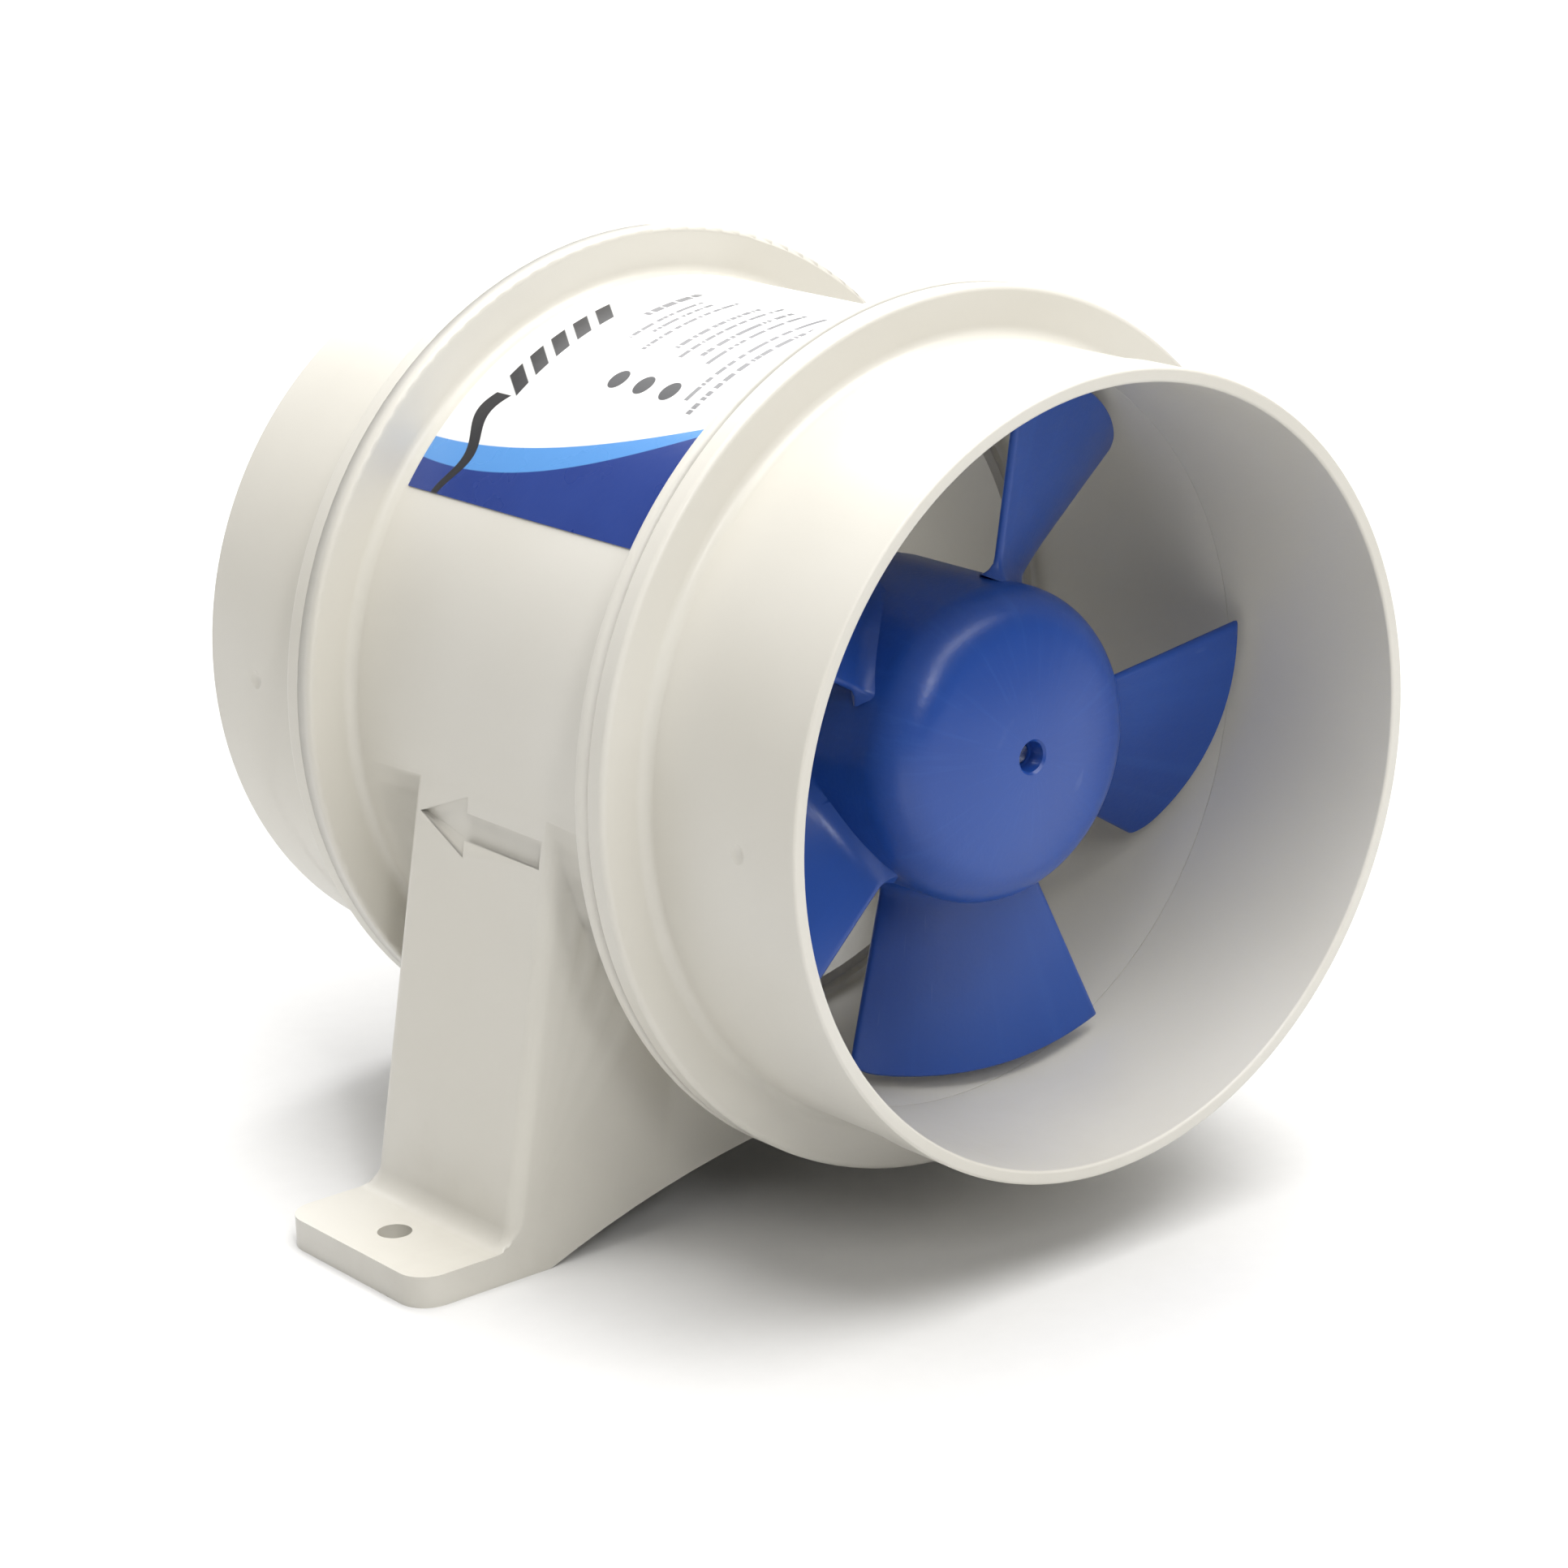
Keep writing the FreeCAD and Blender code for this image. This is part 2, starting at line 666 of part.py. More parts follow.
def make_cover():
    """Domed cover that closes the rear of the sleeve, with a way out for the lead."""
    body = new_body("motor_cover")
    front = size.vane_front + size.vane_length + size.sleeve_gap
    inside = sleeve_radius + size.cover_gap
    outside = inside + size.cover_wall
    crown_start = front + size.cover_length
    crown_end = crown_start + size.cover_crown
    inner_start = crown_start - size.cover_wall
    inner_end = crown_end - size.cover_wall
    crown = dome_radius(outside, size.cover_crown)
    inner_crown = dome_radius(inside, size.cover_crown)
    ring_section(body, "Revolution", [
        (inside, front), (outside, front), (outside, crown_start, crown, -1), (0, crown_end),
        (0, inner_end, inner_crown, 1), (inside, inner_start)])
    soften(body, "Fillet", any_ring((outside, crown_start)), size.cover_knuckle)
    way = new_sketch(body, "XZ_Plane", shift=(0, crown_start - size.lead_pass, 0))
    draw_circle(way, 0, 0, size.lead_pass / 2)
    extrude(body, "Pocket", way, outside * PAST)
    return body


def dome_radius(half_width, rise):
    return (half_width * half_width + rise * rise) / (2 * rise)


def make_grommet():
    """Rubber ring that grips the pedestal's rear wall, a flange on each side of it."""
    body = new_body("cable_grommet")
    rear = size.pedestal_length / 2
    front = rear - size.pedestal_wall
    flange = size.grommet_flange_thickness
    gap = size.grommet_gap
    bore = size.grommet_bore / 2
    neck = size.grommet_hole / 2 - gap
    wide = size.grommet_flange / 2
    sketch = new_sketch(body, "XZ_Plane", shift=(
        size.grommet_across, 0, size.grommet_height - axis_height))
    draw_outline(sketch, [
        (bore, front - gap - flange), (wide, front - gap - flange), (wide, front - gap), (neck, front - gap),
        (neck, rear + gap), (wide, rear + gap), (wide, rear + gap + flange), (bore, rear + gap + flange)])
    spin(body, "Revolution", sketch)
    return body


def make_label():
    """The thin sticker round the top of the barrel, centred on the side towards the inlet's left."""
    body = new_body("maker_label", LABEL_TURN)
    inside = barrel_radius + size.label_gap
    half = size.label_length / 2
    ring_section(body, "Revolution", [
        (inside, -half), (inside + size.label_thickness, -half),
        (inside + size.label_thickness, half), (inside, half)], size.label_angle)
    return body


# ---------------------------------------------------------------- motor, the parts that stand still

def make_motor_can():
    body = new_body("motor_can")
    wall = size.motor_can_wall
    nose = size.motor_nose_outer / 2
    bush_seat = bush_radius + size.press_gap
    ring_section(body, "Revolution", [
        (bush_seat, nose_front), (nose, nose_front), (nose, size.motor_front),
        (motor_radius, size.motor_front), (motor_radius, motor_rear), (can_bore, motor_rear),
        (can_bore, size.motor_front + wall), (bush_seat, size.motor_front + wall)])
    soften(body, "Fillet", any_ring((motor_radius, size.motor_front)), size.motor_can_round)
    drill_screw_holes(body, size.motor_front, wall)
    return body


def make_end_cap():
    """Moulded rear end of the motor: plug, bearing boss, brush-box posts and terminal slots."""
    body = new_body("motor_end_cap")
    plug = can_bore - size.end_cap_gap
    plug_bore = plug - size.end_cap_plug_wall
    bush_seat = bush_radius + size.press_gap
    boss = bush_radius + size.end_cap_thickness / 2
    boss_rear = motor_end + size.bush_length - size.end_cap_thickness
    ring_section(body, "Revolution", [
        (bush_seat, motor_rear), (plug_bore, motor_rear), (plug_bore, motor_rear - size.end_cap_plug),
        (plug, motor_rear - size.end_cap_plug), (plug, motor_rear), (motor_radius, motor_rear),
        (motor_radius, motor_end), (boss, motor_end), (boss, boss_rear), (bush_seat, boss_rear)])
    post_front = size.brush_station + holder_side + size.press_gap
    posts = new_sketch(body, "XY_Plane", shift=(0, 0, motor_rear))
    for side in (-1, 1):
        near = side * (size.holder_inner_end + size.post_inset)
        far = side * size.terminal_across - side * size.terminal_thickness
        draw_box(posts, near, far, -holder_side, holder_side)
    extrude(body, "Pad", posts, motor_rear - post_front, reverse=True)
    slots = new_sketch(body, "XY_Plane", shift=(0, 0, motor_end))
    slot_half = size.terminal_thickness / 2 + size.end_cap_gap
    slot_width = size.terminal_width / 2 + size.end_cap_gap
    for side in (-1, 1):
        across = side * size.terminal_across
        draw_box(slots, across - slot_half, across + slot_half, -slot_width, slot_width)
    extrude(body, "Pocket", slots, size.end_cap_thickness * PAST, symmetric=True)
    return body


def make_bush(name, front):
    body = new_body(name)
    bore = shaft_radius + size.running_gap
    ring_section(body, "Revolution", [
        (bore, front), (bush_radius, front), (bush_radius, front + size.bush_length),
        (bore, front + size.bush_length)])
    return body


def make_magnet(name, turn):
    body = new_body(name, turn)
    inner = magnet_inner
    outer = can_bore - size.magnet_gap
    rear = size.magnet_front + size.magnet_length
    ring_section(body, "Revolution", [
        (inner, size.magnet_front), (outer, size.magnet_front), (outer, rear), (inner, rear)],
        size.magnet_angle)
    return body


def make_magnet_spring():
    """A strip of spring steel that lies against the can between the two magnets."""
    body = new_body("magnet_spring", MAGNET_SPRING_TURN)
    outer = can_bore - size.magnet_gap
    inner = outer - size.magnet_spring_thickness
    rear = size.magnet_front + size.magnet_length
    ring_section(body, "Revolution", [
        (inner, size.magnet_front), (outer, size.magnet_front), (outer, rear), (inner, rear)],
        size.magnet_spring_angle)
    return body


def make_brush_holder(name, side):
    """Brass box, closed at its outer end, that one brush slides in."""
    body = new_body(name)
    start = side * size.holder_inner_end
    end = side * holder_end
    inner_end = end - side * size.holder_wall
    outer = new_sketch(body, "XY_Plane", shift=(0, 0, size.brush_station))
    draw_box(outer, start, end, -holder_side, holder_side)
    extrude(body, "Pad", outer, 2 * holder_side, symmetric=True)
    inner = new_sketch(body, "XY_Plane", shift=(0, 0, size.brush_station))
    draw_box(inner, start - side * size.holder_wall, inner_end, -holder_bore, holder_bore)
    extrude(body, "Pocket", inner, 2 * holder_bore, symmetric=True)
    return body


def make_brush(name, side):
    """Carbon block whose inner end is hollowed to the commutator's curve."""
    body = new_body(name)
    half = size.brush_width / 2
    inner_end = brush_face - half
    block = new_sketch(body, "XY_Plane", shift=(0, 0, size.brush_station))
    draw_box(block, side * inner_end, side * (brush_face + size.brush_length), -half, half)
    extrude(body, "Pad", block, size.brush_width, symmetric=True)
    curve = draw_circle(new_sketch(body, "XY_Plane", shift=(0, 0, size.brush_station)), 0, 0, brush_face)
    extrude(body, "Pocket", curve, size.brush_width * PAST, symmetric=True)
    return body


def make_brush_spring(name, side):
    """Coil spring between a brush's rear end and the closed end of its box."""
    body = new_body(name)
    start = side * (brush_face + size.brush_length + size.spring_gap)
    end = side * (holder_end - size.holder_wall - size.spring_gap)
    wire = size.spring_wire / 2
    coil = size.spring_coil / 2 - wire
    section = new_sketch(body, "XY_Plane", shift=(0, 0, size.brush_station))
    draw_circle(section, start + side * wire, coil, wire)
    helix = body.newObject("PartDesign::AdditiveHelix", f"{name}_coil")
    helix.Profile = section
    helix.ReferenceAxis = (section, ["H_Axis"])
    helix.Mode = "height-turns-angle"
    helix.setExpression("Height", (side * (end - start) - 2 * wire).text)
    helix.setExpression("Turns", size.spring_turns.text)
    helix.Reversed = side < 0
    section.Visibility = False
    doc.recompute()
    return body


def make_terminal(name, side):
    """Push-on tab that stands through the end cap, beside its brush box."""
    body = new_body(name)
    rear = motor_end + size.terminal_length
    across = side * size.terminal_across
    half = size.terminal_thickness / 2
    inner_half = size.terminal_width / 2
    step = size.brush_station + holder_side + size.press_gap
    sketch = new_sketch(body, "XY_Plane", shift=(0, 0, step))
    draw_box(sketch, across - half, across + half, -inner_half, inner_half)
    extrude(body, "Pad", sketch, rear - step)
    return body


def make_suppressor():
    """Ceramic disc capacitor across the two terminals, its leads soldered to them."""
    body = new_body("suppressor")
    station = motor_end + size.terminal_length - size.suppressor_inset
    lead = size.suppressor_lead / 2
    reach = size.terminal_across - size.terminal_thickness / 2 - size.press_gap
    across = new_sketch(body, "YZ_Plane", shift=(0, station, 0))
    draw_circle(across, 0, 0, lead)
    extrude(body, "Pad", across, 2 * reach, symmetric=True)
    disc = new_sketch(body, "XZ_Plane")
    draw_circle(disc, 0, station, size.suppressor_width / 2)
    extrude(body, "Pad", disc, size.suppressor_thickness, symmetric=True)
    return body


def make_motor_screws():
    """Two countersunk screws that hold the motor's face to the cradle's plate."""
    shapes = []
    for side in (-1, 1):
        body = new_body(f"screw_{'left' if side < 0 else 'right'}")
        sketch = new_sketch(body, "XZ_Plane", shift=(side * size.screw_spacing / 2, plate_front, 0))
        head = size.screw_head / 2
        shank = size.screw_thread / 2
        spin(body, "Revolution", draw_outline(sketch, [
            (0, 0), (head, 0), (shank, head - shank), (shank, size.screw_length), (0, size.screw_length)]))
        shapes.append(body)
    pair = doc.addObject("Part::Compound", "motor_screws")
    pair.Label = "motor_screws"
    pair.Links = shapes
    doc.recompute()
    return pair


# ---------------------------------------------------------------- rotor

def make_shaft():
    body = new_body("motor_shaft")
    rear = motor_end + size.bush_length - size.end_cap_thickness
    ring_section(body, "Revolution", [
        (0, shaft_front), (shaft_radius, shaft_front), (shaft_radius, rear), (0, rear)])
    ends = any_ring((shaft_radius, shaft_front), (shaft_radius, rear))
    soften(body, "Chamfer", ends, size.shaft_chamfer)
    return body


def make_core():
    """Laminated stack with one round-bottomed slot for each coil."""
    body = new_body("armature_core")
    ring_section(body, "Revolution", [
        (shaft_radius + size.press_gap, size.core_front), (core_radius, size.core_front),
        (core_radius, size.core_front + size.core_length),
        (shaft_radius + size.press_gap, size.core_front + size.core_length)])
    slot = new_sketch(body, "XY_Plane", shift=(0, 0, size.core_front))
    draw_circle(slot, slot_radius, 0, size.slot_width / 2)
    round_cut = extrude(body, "Pocket", slot, size.core_length * PAST, reverse=True)
    mouth = new_sketch(body, "XY_Plane", shift=(0, 0, size.core_front))
    draw_box(mouth, slot_radius, 2 * core_radius, -size.slot_mouth / 2, size.slot_mouth / 2)
    mouth_cut = extrude(body, "Pocket", mouth, size.core_length * PAST, reverse=True)
    repeat_round(body, [round_cut, mouth_cut], size.slot_count)
    return body


def make_windings():
    """Copper coils: a bar of wire in each slot, joined by the end turns on both faces of the stack."""
    body = new_body("armature_windings")
    inner = size.end_turn_inner / 2
    outer = core_radius - size.end_turn_inset
    gap = size.coil_gap
    front = size.core_front - gap
    rear = size.core_front + size.core_length + gap
    bars = new_sketch(body, "XY_Plane", shift=(0, 0, front - gap))
    draw_circle(bars, slot_radius, 0, size.slot_width / 2 - gap)
    bar = extrude(body, "Pad", bars, size.core_length + 4 * gap)
    repeat_round(body, [bar], size.slot_count)
    ring_section(body, "Revolution", [
        (inner, front - size.end_turn_length), (outer, front - size.end_turn_length), (outer, front),
        (inner, front)])
    rear_turns = size.commutator_front - gap
    ring_section(body, "Revolution", [(inner, rear), (outer, rear), (outer, rear_turns), (inner, rear_turns)])
    ends = any_ring((outer, front - size.end_turn_length), (outer, rear_turns))
    soften(body, "Fillet", ends, size.end_turn_round)
    return body


def make_commutator():
    body = new_body("commutator")
    bore = shaft_radius + size.press_gap
    front = size.commutator_front
    outer = size.commutator_outer / 2
    riser = size.commutator_riser
    rear = front + size.commutator_length
    ring_section(body, "Revolution", [
        (bore, front), (outer + riser, front), (outer + riser, front + riser), (outer, front + riser),
        (outer, rear), (bore, rear)])
    return body


def make_washer(name, front):
    body = new_body(name)
    bore = shaft_radius + size.press_gap
    outer = size.washer_outer / 2
    rear = front + size.washer_thickness
    ring_section(body, "Revolution", [(bore, front), (outer, front), (outer, rear), (bore, rear)])
    return body


def blade_section(body, radius):
    """One cambered section of a blade, on the flat at that radius, set to the blade's pitch there."""
    half_width = radius * tangent(size.blade_span / 2)
    half_depth = size.blade_depth / 2
    chord = 2 * root(half_width * half_width + half_depth * half_depth)
    pitch = angle_of(half_depth / half_width)
    section = new_sketch(body, "YZ_Plane", shift=(0, size.blade_station, radius), turn=pitch)
    half = chord / 2
    edge = size.blade_edge / 2
    swell = (size.blade_middle - size.blade_edge) / 2
    outer_rise = size.blade_camber * chord + swell
    inner_rise = size.blade_camber * chord - swell
    return draw_outline(section, [
        (-half, -edge, dome_radius(half, outer_rise), -1), (half, -edge),
        (half, edge, dome_radius(half, inner_rise), 1), (-half, edge)])


def make_impeller():
    """Hollow hub with a domed nose, and twisted blades whose tips clear the barrel's bore."""
    body = new_body("impeller", IMPELLER_TURN)
    shoulder = size.hub_nose + size.hub_crown
    ring_section(body, "Revolution", [
        (0, size.hub_nose, dome_radius(hub_radius, size.hub_crown), -1), (hub_radius, shoulder),
        (hub_radius, size.hub_rear), (0, size.hub_rear)])
    soften(body, "Fillet", any_ring((hub_radius, shoulder)), size.hub_knuckle)
    tip_radius = bore_radius - size.tip_gap
    outermost = tip_radius + size.blade_middle
    sections = [blade_section(body, radius) for radius in (
        size.blade_root_radius, (size.blade_root_radius + outermost) / 2, outermost)]
    blade = body.newObject("PartDesign::AdditiveLoft", "blade")
    blade.Profile = sections[0]
    blade.Sections = sections[1:]
    doc.recompute()
    repeat_round(body, [blade], size.blade_count)
    trim_tips(body, tip_radius)
    hollow_hub(body, shoulder)
    return body


def trim_tips(body, tip_radius):
    """Trim the blades to the tip circle, and round off the corner at each blade's trailing edge."""
    far = size.spigot_outer
    reach = size.blade_tip_reach
    depth = size.blade_tip_depth
    trailing = size.blade_station + size.blade_depth / 2 + size.blade_edge / 2
    round_radius = (reach * reach + depth * depth) / (2 * reach)
    ring_section(body, "Groove", [
        (tip_radius, -far), (far, -far), (far, far), (tip_radius - reach, far),
        (tip_radius - reach, trailing, round_radius, 1), (tip_radius, trailing - depth)])


def hollow_hub(body, shoulder):
    """Core the hub out from the rear, leave its boss, and bore it for the shaft."""
    bore = shaft_radius + size.press_gap
    nose = size.nose_hole / 2
    wall = size.hub_wall
    inner_nose = size.hub_nose + wall
    corner = hub_bore - size.hub_knuckle + wall
    ring_section(body, "Groove", [
        (0, size.hub_boss_rear), (boss_radius, size.hub_boss_rear), (boss_radius, inner_nose + wall / 4),
        (corner, shoulder + wall / 2), (hub_bore, shoulder + size.hub_knuckle - wall / 2),
        (hub_bore, size.hub_rear + wall), (0, size.hub_rear + wall)])
    ring_section(body, "Groove", [
        (0, size.hub_nose - wall), (nose, size.hub_nose - wall), (nose, shaft_front), (bore, shaft_front),
        (bore, size.hub_boss_rear + wall), (0, size.hub_boss_rear + wall)])
    rib = new_sketch(body, "XZ_Plane")
    draw_box(rib, boss_radius - wall / 4, hub_bore + wall / 4, shoulder + wall, size.hub_boss_rear - wall)
    pad = extrude(body, "Pad", rib, size.rib_thickness, symmetric=True)
    repeat_round(body, [pad], size.blade_count)


# ---------------------------------------------------------------- the whole fan

def make_all():
    cap_bush = motor_end - size.end_cap_thickness
    front_play = size.motor_front - size.motor_nose_length + size.bush_length + size.axial_play
    rear_play = cap_bush - size.axial_play - size.washer_thickness
    pieces = [
        make_barrel_housing(), make_collar("inlet_collar", -1, False), make_collar("outlet_collar", 1, True),
        make_cradle(), make_cover(), make_grommet(), make_label(), make_motor_can(), make_end_cap(),
        make_bush("front_bush", nose_front), make_bush("rear_bush", cap_bush),
        make_magnet("magnet_left", 180.0), make_magnet("magnet_right", 0.0), make_magnet_spring(),
        make_suppressor(), make_motor_screws(), make_shaft(), make_core(), make_windings(),
        make_commutator(), make_washer("front_thrust_washer", front_play),
        make_washer("rear_thrust_washer", rear_play), make_impeller()]
    for word, side in (("left", -1), ("right", 1)):
        pieces.append(make_brush_holder(f"brush_holder_{word}", side))
        pieces.append(make_brush(f"brush_{word}", side))
        pieces.append(make_brush_spring(f"brush_spring_{word}", side))
        pieces.append(make_terminal(f"terminal_{word}", side))
    return pieces


def check_all(pieces):
    """Stop before anything is written if any object of the document failed, or a shape isn't sound."""
    for item in doc.Objects:
        if "Invalid" in item.State or "Error" in item.State:
            raise RuntimeError(f"{item.Label} failed: {item.State}")
    for piece in pieces:
        shape = piece.Shape
        if shape.isNull() or not shape.isValid() or not shape.Solids:
            raise RuntimeError(f"{piece.Label} is not a sound solid")


def write_all(pieces):
    os.makedirs("parts", exist_ok=True)
    for piece in pieces:
        piece.Shape.exportStep(f"parts/{piece.Label}.step")
        box = piece.Shape.BoundBox
        print(f"{piece.Label}: {len(piece.Shape.Solids)} solid, {piece.Shape.Volume:.1f} mm3, "
              f"x {box.XMin:.2f} to {box.XMax:.2f}, y {box.YMin:.2f} to {box.YMax:.2f}, "
              f"z {box.ZMin:.2f} to {box.ZMax:.2f}")


fan = make_all()
doc.recompute()
check_all(fan)
write_all(fan)
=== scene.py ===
# %% [markdown]
# # A four-inch in-line duct fan
# The real object is a small axial fan that sits in a ventilation hose.  A white moulded barrel stands on a
# hollow pedestal with two screw feet, a hose spigot is glued on each end, and a blue five-blade impeller
# turns on an enclosed motor just inside the inlet.  The CAD model already gives every piece its place, so
# this script loads it as a fixed frame and works on what the eye sees: form, finish, print and light.

# %% Load the frame
import json
import math
import bmesh
import bpy
import numpy as np
from mathutils import Matrix, Vector


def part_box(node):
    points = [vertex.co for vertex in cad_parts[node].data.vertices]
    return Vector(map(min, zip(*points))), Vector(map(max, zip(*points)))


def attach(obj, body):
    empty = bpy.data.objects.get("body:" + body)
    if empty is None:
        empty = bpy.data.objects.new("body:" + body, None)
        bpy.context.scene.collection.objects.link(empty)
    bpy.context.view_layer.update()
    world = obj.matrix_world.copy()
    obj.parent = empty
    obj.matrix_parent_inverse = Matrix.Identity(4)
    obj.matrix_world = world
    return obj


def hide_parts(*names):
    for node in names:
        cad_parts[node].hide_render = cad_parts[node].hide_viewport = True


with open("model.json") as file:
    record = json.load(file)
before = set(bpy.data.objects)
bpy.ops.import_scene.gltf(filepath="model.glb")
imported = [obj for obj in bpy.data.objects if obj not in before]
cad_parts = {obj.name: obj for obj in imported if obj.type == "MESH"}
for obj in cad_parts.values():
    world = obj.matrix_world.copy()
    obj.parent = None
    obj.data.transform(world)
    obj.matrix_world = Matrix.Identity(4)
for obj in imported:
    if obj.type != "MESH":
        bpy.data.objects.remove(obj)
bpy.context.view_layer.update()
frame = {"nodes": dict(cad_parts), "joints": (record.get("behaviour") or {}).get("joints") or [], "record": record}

nodes = frame["nodes"]

# %% [markdown]
# ## Places that the CAD gives
# The duct runs along Y, and its axis is a level line above the feet.  The rotor turns on that line, so its
# height is read from the rotor's joint instead of being typed in.  The shoulder and the mouth are read from
# the boxes of two nodes.

# %% Read the duct's axis and main radii
rotor_pin = Vector(next(joint["pos_m"] for joint in frame["joints"] if joint["name"] == "rotor_spin"))
AXIS_Z = rotor_pin.z
SHOULDER_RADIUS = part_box("barrel_housing")[1].z - AXIS_Z
MOUTH_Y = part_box("inlet_collar")[0].y
print("axis height", round(AXIS_Z, 4))
print("shoulder radius", round(SHOULDER_RADIUS, 4), "mouth", round(MOUTH_Y, 4))

# %% [markdown]
# ## Camera
# The camera stands in front of the inlet, to its left and a little above the axis, on a long lens, and it is
# rolled a degree and a half.  Its three directions are worked out from those angles.

# %% Place the camera
CAMERA_PLACE = Vector((-0.34106, -0.42025, 0.21944))
CAMERA_TURN, CAMERA_RISE, CAMERA_ROLL = (math.radians(angle) for angle in (-38.89, 17.46, -1.64))


def add_camera():
    back = Vector((math.sin(CAMERA_TURN) * math.cos(CAMERA_RISE),
                   -math.cos(CAMERA_TURN) * math.cos(CAMERA_RISE), math.sin(CAMERA_RISE)))
    level = Vector((math.cos(CAMERA_TURN), math.sin(CAMERA_TURN), 0))
    above = back.cross(level)
    right = level * math.cos(CAMERA_ROLL) + above * math.sin(CAMERA_ROLL)
    up = back.cross(right)
    camera = bpy.data.objects.new("camera", bpy.data.cameras.new("camera"))
    bpy.context.scene.collection.objects.link(camera)
    camera.matrix_world = Matrix.Translation(CAMERA_PLACE) @ Matrix((right, up, back)).transposed().to_4x4()
    camera.data.sensor_width = 36.0
    camera.data.lens = 97.21
    camera.data.shift_x = 0.0019
    camera.data.clip_start = 0.01
    bpy.context.scene.camera = camera
    return camera


camera = add_camera()
print("camera at", [round(value, 3) for value in camera.location], "lens", camera.data.lens)

# %% [markdown]
# ## One helper for every node tree
# Materials and Geometry Nodes are both node trees.  Sums of masks are easier to read as Python, so a small
# class wraps a socket and turns + - * / into Math nodes, and one method makes any other node.

# %% Wrap sockets so that sums read as Python
class Flow:
    """A value on its way through a node tree."""

    def __init__(self, tree, socket):
        self.tree = tree
        self.socket = socket

    def math(self, operation, *others):
        values = [self, *others]
        return make_node(self.tree, "ShaderNodeMath", {"operation": operation}, dict(enumerate(values)))

    def __add__(self, other):
        return self.math("ADD", other)

    def __sub__(self, other):
        return self.math("SUBTRACT", other)

    def __mul__(self, other):
        return self.math("MULTIPLY", other)

    def __truediv__(self, other):
        return self.math("DIVIDE", other)

    def __pow__(self, other):
        return self.math("POWER", other)

    __radd__ = __add__
    __rmul__ = __mul__

    def __rsub__(self, other):
        return make_node(self.tree, "ShaderNodeMath", {"operation": "SUBTRACT"}, {0: other, 1: self})

    def __rtruediv__(self, other):
        return make_node(self.tree, "ShaderNodeMath", {"operation": "DIVIDE"}, {0: other, 1: self})

    def ramp(self, start, end):
        """0 below start, 1 above end, and a smooth way between them."""
        settings = {"interpolation_type": "SMOOTHSTEP"}
        return make_node(self.tree, "ShaderNodeMapRange", settings, {0: self, 1: start, 2: end})


def make_node(tree, kind, settings=None, inputs=None, output=0):
    """Add a node, set it up, fill its sockets with values or links, and hand one output back."""
    node = tree.nodes.new(kind)
    for name, value in (settings or {}).items():
        if name == "stops":
            fill_ramp(node.color_ramp, value)
        else:
            setattr(node, name, value)
    for name, value in (inputs or {}).items():
        socket = node.inputs[name]
        if isinstance(value, Flow):
            tree.links.new(value.socket, socket)
        else:
            socket.default_value = value
    return Flow(tree, node.outputs[output]) if node.outputs else None


def fill_ramp(ramp, stops):
    while len(ramp.elements) < len(stops):
        ramp.elements.new(1.0)
    for element, (place, colour) in zip(ramp.elements, stops):
        element.position = place
        element.color = (*colour, 1.0)


print("node helpers ready")

# %% [markdown]
# ## Building blocks of a finish
# Nearly every finish here is a base colour that drifts a little, a roughness that drifts with it, and a fine
# relief.  All three read the same object coordinates, in metres, so a scale of 100 means features about
# a centimetre across.

# %% Start, tint and finish a material
def start_material(name):
    material = bpy.data.materials.new(name)
    material.use_nodes = True
    tree = material.node_tree
    tree.nodes.clear()
    place = make_node(tree, "ShaderNodeTexCoord", output="Object")
    return material, tree, place


def noise(tree, place, scale, detail=3.0, roughness=0.55, distortion=0.0):
    return make_node(tree, "ShaderNodeTexNoise", inputs={
        "Vector": place, "Scale": scale, "Detail": detail, "Roughness": roughness, "Distortion": distortion})


def stretch(tree, place, scale, location=(0.0, 0.0, 0.0), rotation=(0.0, 0.0, 0.0)):
    return make_node(tree, "ShaderNodeMapping", inputs={
        "Vector": place, "Location": location, "Rotation": rotation, "Scale": scale})


def blend_colour(tree, factor, first, second):
    """First colour where the factor is 0, second where it is 1."""
    node = tree.nodes.new("ShaderNodeMix")
    node.data_type = "RGBA"
    for index, value in ((0, factor), (6, first), (7, second)):
        if isinstance(value, Flow):
            tree.links.new(value.socket, node.inputs[index])
        else:
            node.inputs[index].default_value = value if index == 0 else (*value, 1.0)
    return Flow(tree, node.outputs[2])


def close_material(material, tree, colour, roughness, relief=None, relief_depth=0.0002, **constants):
    """Feed the shader; anything in constants is set on its own socket."""
    inputs = {"Base Color": colour, "Roughness": roughness}
    if relief is not None:
        inputs["Normal"] = make_node(tree, "ShaderNodeBump", inputs={
            "Strength": 1.0, "Distance": relief_depth, "Height": relief})
    inputs.update({name.replace("_", " ").title(): value for name, value in constants.items()})
    shader = make_node(tree, "ShaderNodeBsdfPrincipled", inputs=inputs)
    make_node(tree, "ShaderNodeOutputMaterial", inputs={"Surface": shader})
    return material


print("finish helpers ready")
